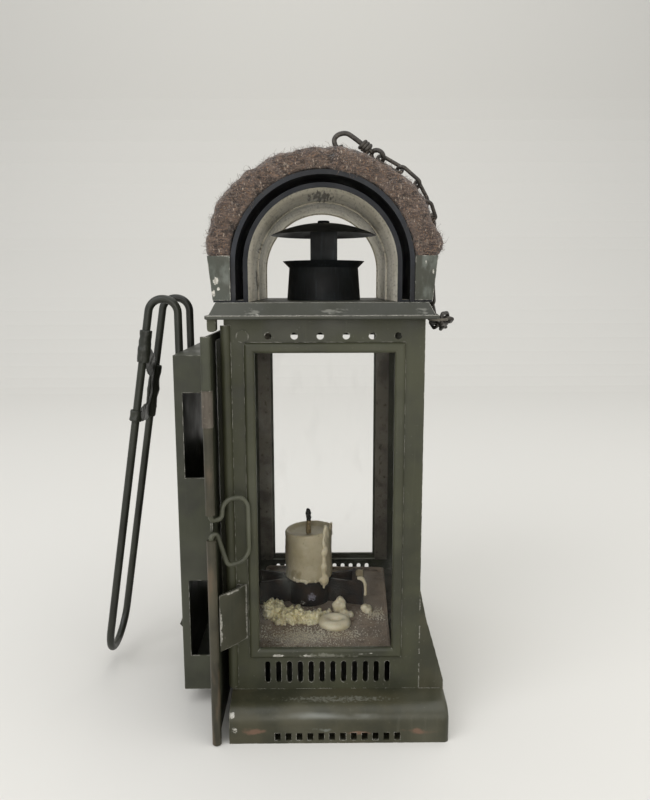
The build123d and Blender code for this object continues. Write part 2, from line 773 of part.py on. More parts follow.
# Hood arches: two vaults of sheet, each with swollen front and back rims and feet on the lid
arch_room = outer_arch_radius - sheet - arch_rim_swell - inner_arch_radius - arch_foot_gap
rim_starts = (-hood_y, hood_y - arch_rim_depth)
for arch_name, arch_radius, foot_width in (("hood_inner_arch", inner_arch_radius, arch_room),
                                           ("hood_outer_arch", outer_arch_radius, outer_foot_width)):
    bands = [(-hood_y, hood_depth, arch_radius, arch_radius - sheet)]
    bands += [(rim_start, arch_rim_depth, arch_radius + arch_rim_swell, arch_radius - sheet - arch_rim_swell)
              for rim_start in rim_starts]
    if arch_name == "hood_inner_arch":
        bands.append((-arch_bead_depth / 2, arch_bead_depth, arch_radius, arch_radius - sheet - arch_bead_rise))
    with BuildPart() as arch:
        for band_start, band_depth, band_outer, band_inner in bands:
            with BuildSketch(Plane.XZ.offset(-band_start)):
                for band_radius, how in ((band_outer, Mode.ADD), (band_inner, Mode.SUBTRACT)):
                    with BuildLine():
                        Polyline((hood_x - band_radius, arch_centre_z), (hood_x - band_radius, lid_top),
                                 (hood_x + band_radius, lid_top), (hood_x + band_radius, arch_centre_z))
                        RadiusArc((hood_x - band_radius, arch_centre_z), (hood_x + band_radius, arch_centre_z),
                                  band_radius)
                    make_face(mode=how)
            extrude(amount=-band_depth)
        for side in (-1, 1):
            with BuildSketch(Plane.XY.offset(lid_top)):
                with Locations((hood_x + side * (arch_radius - sheet), 0)):
                    Rectangle(foot_width + sheet, hood_depth,
                              align=(Align.MIN if side > 0 else Align.MAX, Align.CENTER))
            extrude(amount=sheet)
    arch.part.label = arch_name
    export_step(arch.part, "parts/" + arch_name + ".step")

# Felt clamps: folded troughs that stand on the outer arch's feet and hold the felt's ends
clamp_inner_x = outer_arch_radius + arch_rim_swell + running_fit
for clamp_name, side in (("felt_clamp_left", -1), ("felt_clamp_right", 1)):
    with BuildPart() as clamp:
        with BuildSketch(Plane.XZ.offset(-clamp_depth / 2)):
            with BuildLine():
                Polyline(
                    (hood_x + side * clamp_inner_x, clamp_bottom),
                    (hood_x + side * (clamp_outer_x - clamp_lean), clamp_bottom),
                    (hood_x + side * clamp_outer_x, clamp_top),
                    (hood_x + side * clamp_inner_x, clamp_top),
                    close=True)
            make_face()
        extrude(amount=clamp_depth)
        with BuildSketch(Plane.XZ.offset(sheet - clamp_depth / 2)):
            with BuildLine():
                Polyline(
                    (hood_x + side * (clamp_inner_x - sheet), clamp_bottom + sheet),
                    (hood_x + side * (clamp_outer_x - clamp_lean - sheet), clamp_bottom + sheet),
                    (hood_x + side * (clamp_outer_x - sheet), clamp_top),
                    (hood_x + side * (clamp_outer_x - sheet), clamp_top + sheet),
                    (hood_x + side * (clamp_inner_x - sheet), clamp_top + sheet),
                    close=True)
            make_face()
        extrude(amount=clamp_depth - 2 * sheet, mode=Mode.SUBTRACT)
    clamp.part.label = clamp_name
    export_step(clamp.part, "parts/" + clamp_name + ".step")

# Rivets on the clamps' outer walls
clamp_rivet_z = clamp_bottom + clamp_rivet_share * clamp_height
clamp_wall_x = clamp_outer_x - clamp_lean * (1 - clamp_rivet_share)
clamp_angle = degrees(atan2(clamp_lean, clamp_height))
with BuildPart() as clamp_rivets:
    for side in (-1, 1):
        rivet_plane = Plane(
            origin=(hood_x + side * clamp_wall_x, 0, clamp_rivet_z),
            x_dir=(0, 1, 0),
            z_dir=(side * cos(radians(clamp_angle)), 0, -sin(radians(clamp_angle))))
        with BuildSketch(rivet_plane):
            with GridLocations(2 * clamp_rivet_y, 0, 2, 1):
                Circle(clamp_rivet_radius)
        extrude(amount=clamp_rivet_height)
clamp_rivets.part.label = "clamp_rivets"
export_step(clamp_rivets.part, "parts/clamp_rivets.step")

# Felt pad: a thick arch of felt with rounded edges, its two ends inside the clamps
felt_y = clamp_depth / 2 - sheet - felt_gap
felt_end_z = clamp_bottom + sheet + felt_gap
felt_lip_z = clamp_top + felt_gap
felt_end_x = clamp_outer_x - clamp_lean - sheet - felt_gap
felt_neck_x = clamp_outer_x - sheet - felt_gap
felt_inner_x = outer_arch_radius + arch_rim_swell + felt_gap
felt_lip_angle = asin((felt_lip_z - arch_centre_z) / felt_top_rise)
felt_lip_x = felt_side_radius * cos(felt_lip_angle)
with BuildPart() as felt_pad:
    with BuildSketch(Plane.XZ.offset(-felt_y)):
        with BuildLine():
            EllipticalCenterArc((hood_x, arch_centre_z), felt_side_radius, felt_top_rise,
                                start_angle=degrees(felt_lip_angle), arc_size=180 - 2 * degrees(felt_lip_angle))
            Polyline((hood_x - felt_lip_x, felt_lip_z), (hood_x - felt_neck_x, felt_lip_z),
                     (hood_x - felt_neck_x, clamp_top), (hood_x - felt_end_x, felt_end_z),
                     (hood_x - felt_inner_x, felt_end_z), (hood_x - felt_inner_x, arch_centre_z))
            RadiusArc((hood_x - felt_inner_x, arch_centre_z), (hood_x + felt_inner_x, arch_centre_z),
                      felt_inner_x)
            Polyline((hood_x + felt_inner_x, arch_centre_z), (hood_x + felt_inner_x, felt_end_z),
                     (hood_x + felt_end_x, felt_end_z), (hood_x + felt_neck_x, clamp_top),
                     (hood_x + felt_neck_x, felt_lip_z), (hood_x + felt_lip_x, felt_lip_z))
        make_face()
    extrude(amount=2 * felt_y)
    fillet(felt_pad.edges().filter_by(GeomType.ELLIPSE), felt_round)
felt_pad.part.label = "felt_pad"
export_step(felt_pad.part, "parts/felt_pad.step")

# Lug under the lid's left end
with BuildPart() as lid_lug:
    with BuildSketch(Plane.XY.offset(eave_z)):
        with Locations((lid_lug_x, lid_lug_y)):
            Rectangle(lid_lug_width, lid_lug_depth)
    extrude(amount=-lid_lug_height)
    fillet(lid_lug.edges().filter_by(Axis.Y).group_by(Axis.Z)[0], lid_lug_width / 3)
lid_lug.part.label = "lid_lug"
export_step(lid_lug.part, "parts/lid_lug.step")

# Lug on the front panel: a foot on the panel and a bent sheet that reaches the door's edge
stop_tip_x = roll_radius + wire_gap - door_x
stop_tip_y = -body_y - stop_reach_y
stop_run_x = stop_tip_x - stop_foot_x
with BuildPart() as door_stop_lug:
    with BuildSketch(Plane.XY.offset(stop_bottom)):
        with Locations((stop_foot_x, -body_y)):
            Rectangle(stop_foot_width, sheet, align=(Align.MAX, Align.MAX))
        with BuildLine():
            ThreePointArc((stop_foot_x, -body_y),
                          (stop_foot_x + stop_run_x / 2, -body_y - stop_reach_y / 2 - sheet),
                          (stop_tip_x, stop_tip_y))
            Line((stop_tip_x, stop_tip_y), (stop_tip_x, stop_tip_y + stop_slant))
            ThreePointArc((stop_tip_x, stop_tip_y + stop_slant),
                          (stop_foot_x + stop_run_x / 2 - sheet / 2, -body_y - stop_reach_y / 2 + sheet / 2),
                          (stop_foot_x - stop_slant, -body_y))
            Line((stop_foot_x - stop_slant, -body_y), (stop_foot_x, -body_y))
        make_face()
    extrude(amount=stop_height)
door_stop_lug.part.label = "door_stop_lug"
export_step(door_stop_lug.part, "parts/door_stop_lug.step")

# Tab under the lid's right front corner, with the hole that the chain hangs in
with BuildPart() as chain_tab:
    with BuildSketch(Plane.XY.offset(eave_z)):
        with Locations((tab_plate_x, tab_plate_y)):
            RectangleRounded(tab_plate_width, tab_plate_depth, tab_plate_width / 3)
        with Locations((tab_plate_x + tab_hole_out, tab_plate_y + tab_hole_set_back)):
            Circle(tab_hole_radius, mode=Mode.SUBTRACT)
    extrude(amount=-sheet)
chain_tab.part.label = "chain_tab"
export_step(chain_tab.part, "parts/chain_tab.step")

# Knuckles of the door's hinge, in turn on the body and on the door
knuckle_pitch = (knuckle_top - knuckle_bottom) / knuckle_count
knuckle_length = knuckle_pitch - knuckle_gap
hinge_bore = hinge_pin_radius + running_fit
body_knuckles = [knuckle_bottom + index * knuckle_pitch for index in range(0, knuckle_count, 2)]
door_knuckles = [knuckle_bottom + index * knuckle_pitch for index in range(1, knuckle_count, 2)]

# Door plate with a folded stiffener at the top of its front edge
roll_y = -door_front
plate_front_y = roll_radius - door_front
plate_back_y = hinge_y - knuckle_radius - wire_gap
with BuildPart() as door_plate:
    with BuildSketch(Plane.XY.offset(door_bottom)):
        with Locations((-door_x, plate_front_y)):
            Rectangle(sheet, plate_back_y - plate_front_y, align=(Align.CENTER, Align.MIN))
    extrude(amount=door_top - door_bottom)
    with BuildSketch(Plane.XY.offset(sleeve_top)):
        with Locations((-door_x, roll_y)):
            RectangleRounded(edge_hem_width, edge_hem_depth, sheet)
        with Locations((-door_x, roll_y)):
            Rectangle(sheet, 2 * roll_radius, align=(Align.CENTER, Align.MIN))
    extrude(amount=door_top - sleeve_top)
    for knuckle_z in door_knuckles:
        with BuildSketch(Plane.XY.offset(knuckle_z)):
            with Locations((-door_x, plate_back_y)):
                Rectangle(sheet, wire_gap, align=(Align.CENTER, Align.MIN))
        extrude(amount=knuckle_length)
door_plate.part.label = "door_plate"
export_step(door_plate.part, "parts/door_plate.step")

# Rolled front edge, hollow for the latch's pins, with a notch where the latch swings
latch_bore = latch_wire_radius + running_fit
with BuildPart() as door_edge_roll:
    for stretch_bottom, stretch_top in ((door_bottom, notch_bottom), (notch_top, roll_top)):
        with BuildSketch(Plane.XY.offset(stretch_bottom)):
            with Locations((-door_x, roll_y)):
                Circle(roll_radius)
                Circle(latch_bore, mode=Mode.SUBTRACT)
        extrude(amount=stretch_top - stretch_bottom)
door_edge_roll.part.label = "door_edge_roll"
export_step(door_edge_roll.part, "parts/door_edge_roll.step")

# Bare sleeve on the door's edge
with BuildPart() as edge_sleeve:
    with BuildSketch(Plane.XY.offset(roll_top)):
        with Locations((-door_x, roll_y)):
            Circle(sleeve_radius)
        with Locations((-door_x, plate_front_y)):
            Rectangle(sheet, sleeve_radius, align=(Align.CENTER, Align.MIN), mode=Mode.SUBTRACT)
    extrude(amount=sleeve_top - roll_top)
edge_sleeve.part.label = "edge_sleeve"
export_step(edge_sleeve.part, "parts/edge_sleeve.step")

# Door hinge: body knuckles with their leaf on the back panel, door knuckles, and a pin
leaf_length = door_x - knuckle_radius + sheet / 2 - body_x + leaf_reach
with BuildPart() as hinge_leaf:
    for knuckle_z in body_knuckles:
        with BuildSketch(Plane.XY.offset(knuckle_z)):
            with Locations((-door_x, hinge_y)):
                Circle(knuckle_radius)
            with Locations((leaf_reach - body_x, body_y)):
                Rectangle(leaf_length, sheet, align=(Align.MAX, Align.MIN))
            with Locations((leaf_reach - body_x - leaf_length, body_y)):
                Rectangle(sheet, hinge_y - body_y, align=(Align.MIN, Align.MIN))
            with Locations((-door_x, hinge_y)):
                Circle(hinge_bore, mode=Mode.SUBTRACT)
        extrude(amount=knuckle_length)
hinge_leaf.part.label = "hinge_leaf"
export_step(hinge_leaf.part, "parts/hinge_leaf.step")

with BuildPart() as door_knuckle_pair:
    for knuckle_z in door_knuckles:
        with BuildSketch(Plane.XY.offset(knuckle_z)):
            with Locations((-door_x, hinge_y)):
                Circle(knuckle_radius)
                Circle(hinge_bore, mode=Mode.SUBTRACT)
        extrude(amount=knuckle_length)
door_knuckle_pair.part.label = "door_knuckles"
export_step(door_knuckle_pair.part, "parts/door_knuckles.step")

with BuildPart() as hinge_pin:
    with BuildSketch(Plane.XY.offset(knuckle_bottom)):
        with Locations((-door_x, hinge_y)):
            Circle(hinge_pin_radius)
    extrude(amount=knuckle_top - knuckle_gap - knuckle_bottom)
    for head_z, head_rise in ((knuckle_bottom, -pin_overhang), (knuckle_top - knuckle_gap, pin_overhang)):
        with BuildSketch(Plane.XY.offset(head_z)):
            with Locations((-door_x, hinge_y)):
                Circle(knuckle_radius)
        extrude(amount=head_rise)
hinge_pin.part.label = "hinge_pin"
export_step(hinge_pin.part, "parts/hinge_pin.step")

# Hollow box on the door: five walls, flanges on the plate, and two belt slots through front and back
box_width = box_left - box_right
with BuildPart() as hook_box:
    with BuildSketch(Plane.XY.offset(box_bottom)):
        with Locations((-box_left, 0)):
            Rectangle(box_width, box_depth, align=(Align.MIN, Align.CENTER))
    extrude(amount=box_top - box_bottom)
    fillet(hook_box.edges().filter_by(Axis.Z).group_by(Axis.X)[0], box_round)
    with BuildSketch(Plane.XY.offset(box_bottom + sheet)):
        with Locations((sheet - box_left, 0)):
            Rectangle(box_width, box_depth - 2 * sheet, align=(Align.MIN, Align.CENTER))
    extrude(amount=box_top - box_bottom - 2 * sheet, mode=Mode.SUBTRACT)
    with BuildSketch(Plane.XY.offset(box_bottom)):
        for side in (-1, 1):
            with Locations((-box_right, side * box_depth / 2)):
                Rectangle(sheet, box_flange, align=(Align.MAX, Align.MIN if side > 0 else Align.MAX))
    extrude(amount=box_top - box_bottom)
    for slot_low, slot_high in ((lower_slot_bottom, lower_slot_top), (upper_slot_bottom, upper_slot_top)):
        with BuildSketch(Plane.XZ.offset(-box_depth / 2 - overrun)):
            with Locations((-slot_left, slot_low)):
                Rectangle(slot_left - box_right - sheet, slot_high - slot_low, align=(Align.MIN, Align.MIN))
        extrude(amount=box_depth + 2 * overrun, mode=Mode.SUBTRACT)
hook_box.part.label = "hook_box"
export_step(hook_box.part, "parts/hook_box.step")

# Rivets through the box's flanges
rivet_rise = (box_top - box_bottom - 2 * box_rivet_margin) / (box_rivet_rows - 1)
with BuildPart() as box_rivets:
    with BuildSketch(Plane.YZ.offset(-box_right - sheet)):
        with Locations((0, (box_top + box_bottom) / 2)):
            with GridLocations(box_depth + box_flange, rivet_rise, 2, box_rivet_rows):
                Circle(box_rivet_radius)
    extrude(amount=-box_rivet_height)
box_rivets.part.label = "box_rivets"
export_step(box_rivets.part, "parts/box_rivets.step")

# Pressed strap on the box's outer wall, over the hook's bar
bar_x = -box_left - hook_wire_radius - wire_gap
with BuildPart() as hook_strap:
    with BuildSketch(Plane.XZ.offset(-strap_width / 2)):
        with BuildLine():
            Polyline(
                (-box_left, strap_high_z + strap_foot),
                (-box_left - sheet, strap_high_z + strap_foot),
                (-box_left - sheet, strap_high_z),
                (-box_left - strap_belly_out - sheet, strap_belly_z),
                (-box_left - sheet, strap_low_z),
                (-box_left - sheet, strap_low_z - strap_foot),
                (-box_left, strap_low_z - strap_foot),
                (-box_left, strap_low_z + sheet / 2),
                (-box_left - strap_belly_out + sheet / 2, strap_belly_z),
                (-box_left, strap_high_z - sheet),
                close=True)
        make_face()
    extrude(amount=strap_width)
hook_strap.part.label = "hook_strap"
export_step(hook_strap.part, "parts/hook_strap.step")

# Belt hook: one bent wire, closed by the bar at its foot and by a round loop at its free end
lean = radians(hook_lean_angle)
hook_far_x = bar_x - hook_top_width
hook_low_x = hook_far_x - (hook_top_z - hook_low_z) * sin(lean) / cos(lean)
hook_loop_round = hook_half_gap - wire_gap / 3
with BuildPart() as belt_hook_wire:
    with BuildLine() as hook_half_path:
        FilletPolyline(
            (bar_x, 0, hook_bar_z), (bar_x, -hook_half_gap, hook_bar_z),
            (bar_x, -hook_half_gap, hook_top_z), (hook_far_x, -hook_half_gap, hook_top_z),
            (hook_low_x, -hook_half_gap, hook_low_z), (hook_low_x, 0, hook_low_z),
            radius=(hook_bar_round, hook_top_round, hook_top_round, hook_loop_round))
    with BuildSketch(Plane.XZ):
        with Locations((bar_x, hook_bar_z)):
            Circle(hook_wire_radius)
    sweep(path=hook_half_path.line)
    mirror(about=Plane.XZ)
belt_hook_wire.part.label = "belt_hook_wire"
export_step(belt_hook_wire.part, "parts/belt_hook_wire.step")

# Brace between the hook's long legs: a strip that wraps the front leg, crosses over and wraps the back leg
brace_origin = (hook_low_x, 0, hook_low_z)
brace_plane = Plane(origin=brace_origin, x_dir=(0, 1, 0), z_dir=(cos(lean), 0, -sin(lean)))
brace_high = (hook_top_z - brace_drop - hook_low_z) / cos(lean)
brace_low = brace_high - brace_length
brace_front_low = brace_high - brace_front_length
brace_back_high = brace_low + brace_back_head
brace_tail_low = brace_low + brace_tail_rise
brace_tail_high = brace_tail_low + brace_tail_length
sleeve_bore = hook_wire_radius + running_fit
with BuildPart() as hook_brace:
    with BuildSketch(brace_plane):
        with BuildLine():
            Polyline(
                (-hook_half_gap, brace_high),
                (-hook_half_gap, brace_front_low),
                (hook_half_gap / 3, brace_back_high - brace_tail_length),
                (hook_half_gap / 3, brace_tail_high),
                (-hook_half_gap, brace_tail_high),
                (-hook_half_gap, brace_tail_low),
                (0, brace_low),
                (hook_half_gap, brace_low),
                (hook_half_gap, brace_back_high),
                close=True)
        make_face()
    extrude(amount=brace_plate / 2, both=True)
    for sleeve_y, sleeve_low, sleeve_high in (
            (-hook_half_gap, brace_front_low, brace_high),
            (-hook_half_gap, brace_tail_low, brace_tail_high),
            (hook_half_gap, brace_low, brace_back_high)):
        with BuildSketch(Plane(origin=brace_plane.from_local_coords((sleeve_y, sleeve_low, 0)),
                               z_dir=brace_plane.y_dir)):
            Circle(sleeve_bore + brace_wrap)
        extrude(amount=sleeve_high - sleeve_low)
    for sleeve_y in (-hook_half_gap, hook_half_gap):
        with BuildSketch(Plane(origin=brace_plane.from_local_coords((sleeve_y, 0, 0)),
                               z_dir=brace_plane.y_dir)):
            Circle(sleeve_bore)
        extrude(amount=brace_high + overrun, mode=Mode.SUBTRACT)
hook_brace.part.label = "hook_brace"
export_step(hook_brace.part, "parts/hook_brace.step")

# Wire latch: one wire from pin to pin, bent as a loop in an upright plane through the door's edge
latch_plane = Plane(origin=(-door_x, roll_y, 0), x_dir=(latch_reach_x, latch_reach_y, 0),
                    z_dir=(latch_reach_y, -latch_reach_x, 0))
with BuildPart() as latch_wire:
    with BuildLine(latch_plane) as latch_path:
        FilletPolyline(
            (0, latch_pin_top), *((out, latch_z + rise) for out, rise in zip(latch_bend_out, latch_bend_rise)),
            (0, latch_pin_bottom),
            radius=latch_bend_radii)
    with BuildSketch(Plane.XY.offset(latch_pin_top)):
        with Locations((-door_x, roll_y)):
            Circle(latch_wire_radius)
    sweep(path=latch_path.line)
latch_wire.part.label = "latch_wire"
export_step(latch_wire.part, "parts/latch_wire.step")



def over_felt(angle, out, inset):
    """Gives a place outside the felt, by its angle about the hood and how far behind the hood's front it is."""
    return (hood_x + (felt_side_radius + out) * cos(radians(angle)), inset - hood_y,
            arch_centre_z + (felt_top_rise + out) * sin(radians(angle)))


# Chain links: each a closed oval of wire between two joints, turned from its neighbours
hood_axis = Vector(hood_x, 0, arch_centre_z)
chain_joints = [(tab_plate_x + tab_hole_out, tab_plate_y + tab_hole_set_back, eave_z - sheet / 2)]
chain_joints += [(hood_x + clamp_outer_x + out, inset - hood_y, lid_top + rise)
                 for out, inset, rise in zip(chain_side_outs, chain_side_insets, chain_side_rises)]
chain_joints += [over_felt(angle, out, inset)
                 for angle, out, inset in zip(chain_over_angles, chain_over_outs, chain_over_insets)]
chain_link_planes = []
for index in range(len(chain_joints) - 1):
    joint_start = Vector(*chain_joints[index])
    joint_end = Vector(*chain_joints[index + 1])
    along = (joint_end - joint_start).normalized()
    middle = (joint_start + joint_end) / 2
    away = Vector(middle.X - hood_axis.X, 0, max(middle.Z - hood_axis.Z, 0))
    outward = (away - along * away.dot(along)).normalized()
    roll = index * chain_roll_step + min(index, chain_twist_links) * chain_twist_step
    facing = outward.rotate(Axis((0, 0, 0), along), roll)
    reach = chain_wire_radius + chain_gap / 2
    link_start = 0 if index == 0 else -reach
    link_end = (joint_end - joint_start).length + reach
    chain_link_planes.append((Plane(origin=joint_start, x_dir=along, z_dir=facing), link_start, link_end))

for run_name, run_links in (("chain_lower_run", chain_link_planes[:lower_run_links]),
                            ("chain_upper_run", chain_link_planes[lower_run_links:])):
    with BuildPart() as chain_run:
        for link_plane, link_start, link_end in run_links:
            with BuildLine(link_plane) as link_path:
                FilletPolyline(
                    (link_start, chain_half_width), (link_end, chain_half_width),
                    (link_end, -chain_half_width), (link_start, -chain_half_width),
                    radius=chain_half_width - chain_gap / 4, close=True)
            with BuildSketch(Plane(origin=link_path.line @ 0, z_dir=link_path.line % 0)):
                Circle(chain_wire_radius)
            sweep(path=link_path.line)
    chain_run.part.label = run_name
    export_step(chain_run.part, "parts/" + run_name + ".step")

# Chain hook: an eye in the last link, a straight shank with a wound knot, and a small crook
hook_eye = Vector(*chain_joints[-1])
crook_places = [over_felt(angle, out, chain_over_insets[-1])
                for angle, out in zip(chain_hook_bend_angles, chain_hook_bend_outs)]
crook_start = Vector(*crook_places[0])
shank = (crook_start - hook_eye).normalized()
last_facing = chain_link_planes[-1][0].z_dir
eye_normal = last_facing.cross(shank).normalized()
eye_reach = chain_wire_radius + chain_hook_eye_wire + chain_gap
eye_centre = hook_eye + shank * (chain_hook_eye_radius - eye_reach / 2)
shank_start = eye_centre + shank * chain_hook_eye_radius
knot_centre = shank_start + (crook_start - shank_start) * knot_share
with BuildPart() as chain_hook:
    with BuildLine() as crook_path:
        FilletPolyline(shank_start, *crook_places, radius=chain_hook_bend_radii)
    with BuildSketch(Plane(origin=crook_path.line @ 0, z_dir=crook_path.line % 0)):
        Circle(chain_hook_wire_radius)
    sweep(path=crook_path.line)
    with BuildSketch(Plane(origin=eye_centre, x_dir=shank, z_dir=eye_normal.cross(shank))):
        with Locations((chain_hook_eye_radius, 0)):
            Circle(chain_hook_eye_wire)
    revolve(axis=Axis(eye_centre, eye_normal))
    with BuildSketch(Plane(origin=knot_centre - shank * knot_length / 2, z_dir=shank)):
        Circle(knot_radius)
    extrude(amount=knot_length)
    fillet(chain_hook.edges().filter_by(GeomType.CIRCLE).filter_by(
        lambda edge: abs(edge.radius - knot_radius) < running_fit), knot_radius - chain_hook_wire_radius - wire_gap)
chain_hook.part.label = "chain_hook"
export_step(chain_hook.part, "parts/chain_hook.step")
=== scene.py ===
"""Belt candle lantern: camera, light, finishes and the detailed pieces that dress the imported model.

Sizes are millimetres until they reach a mesh. X is right along the front, Y is into the picture and Z is up.
"""

import logging
from dataclasses import dataclass, field, replace
from enum import Enum
from math import atan2, cos, degrees, pi, radians, sin
from random import Random
from typing import Callable, Optional, Sequence, Union

import bmesh
import bpy
from mathutils import Matrix, Vector, noise
from mathutils.kdtree import KDTree


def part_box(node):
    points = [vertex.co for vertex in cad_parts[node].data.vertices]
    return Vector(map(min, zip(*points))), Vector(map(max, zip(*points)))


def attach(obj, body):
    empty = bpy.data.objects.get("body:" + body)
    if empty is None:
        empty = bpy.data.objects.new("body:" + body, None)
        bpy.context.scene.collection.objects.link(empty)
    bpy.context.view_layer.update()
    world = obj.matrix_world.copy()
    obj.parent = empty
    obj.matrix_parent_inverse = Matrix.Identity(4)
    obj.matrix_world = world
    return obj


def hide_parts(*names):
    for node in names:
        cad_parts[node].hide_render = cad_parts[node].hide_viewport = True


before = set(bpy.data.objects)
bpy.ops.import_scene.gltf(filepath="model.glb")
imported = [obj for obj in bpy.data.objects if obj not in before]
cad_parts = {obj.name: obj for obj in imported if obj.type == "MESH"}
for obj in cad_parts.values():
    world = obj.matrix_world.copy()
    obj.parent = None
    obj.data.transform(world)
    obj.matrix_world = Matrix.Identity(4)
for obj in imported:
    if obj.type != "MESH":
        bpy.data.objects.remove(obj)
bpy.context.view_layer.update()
log = logging.getLogger("lantern")

MM = 0.001
# How close vertices are that count as one, in millimetres: in CAD meshes, in wires and cuts, on the lathe.
CAD_WELD = 0.002
FINE_WELD = 0.001
LATHE_WELD = 0.01
# The share of a worn place's half size within which it shows fully.
SPOT_CORE = 0.2

Point = tuple[float, float, float]
Colour = tuple[float, float, float, float]
Pairs = tuple[tuple[float, float], ...]
Row = tuple[float, float, float, float]
Socket = bpy.types.NodeSocket


def linear(hex_colour: str) -> Colour:
    """Turns an sRGB hex value into a linear colour with an alpha of 1."""
    parts = (int(hex_colour[i:i + 2], 16) / 255 for i in (1, 3, 5))
    return (*(c / 12.92 if c <= 0.04045 else ((c + 0.055) / 1.055) ** 2.4 for c in parts), 1.0)


class Kind(Enum):
    """The shader nodes that the finishes are made of."""

    COORDS = "ShaderNodeTexCoord"
    GEOMETRY = "ShaderNodeNewGeometry"
    MAPPING = "ShaderNodeMapping"
    NOISE = "ShaderNodeTexNoise"
    RANGE = "ShaderNodeMapRange"
    MIX = "ShaderNodeMix"
    MATH = "ShaderNodeMath"
    VECTOR = "ShaderNodeVectorMath"
    BEVEL = "ShaderNodeBevel"
    BUMP = "ShaderNodeBump"
    SURFACE = "ShaderNodeBsdfPrincipled"
    FACING = "ShaderNodeLayerWeight"
    OUTPUT = "ShaderNodeOutputMaterial"


@dataclass(frozen=True)
class Spot:
    """A place where the surface is worn, scratched or dirty.

    Attributes:
        centre: its middle in millimetres.
        reach: its half sizes in millimetres.
        amount: how strongly it shows, from 0 to 1.
    """

    centre: Point
    reach: Point
    amount: float = 1.0


@dataclass(frozen=True)
class Layer:
    """One mottled layer of blotches, streaks or specks, made from noise.

    Attributes:
        colour: its sRGB hex colour, empty where only its pattern is used.
        size: the blotches' real size in millimetres.
        low: the noise value at which it begins to show.
        high: the noise value at which it shows as much as it may, below low for the noise's dark parts.
        amount: how much it covers there.
        detail: how many finer octaves its outline has.
        stretch: how much longer the blotches are along X, Y and Z.
        shift: moves the noise, so that two layers of one size differ.
        spots: the places that it keeps to, or none where it lies everywhere.
    """

    colour: str
    size: float
    low: float = 0.45
    high: float = 0.7
    amount: float = 1.0
    detail: float = 4.0
    stretch: Point = (1, 1, 1)
    shift: float = 0.0
    spots: tuple[Spot, ...] = ()


Relief = tuple[tuple[Layer, float], ...]


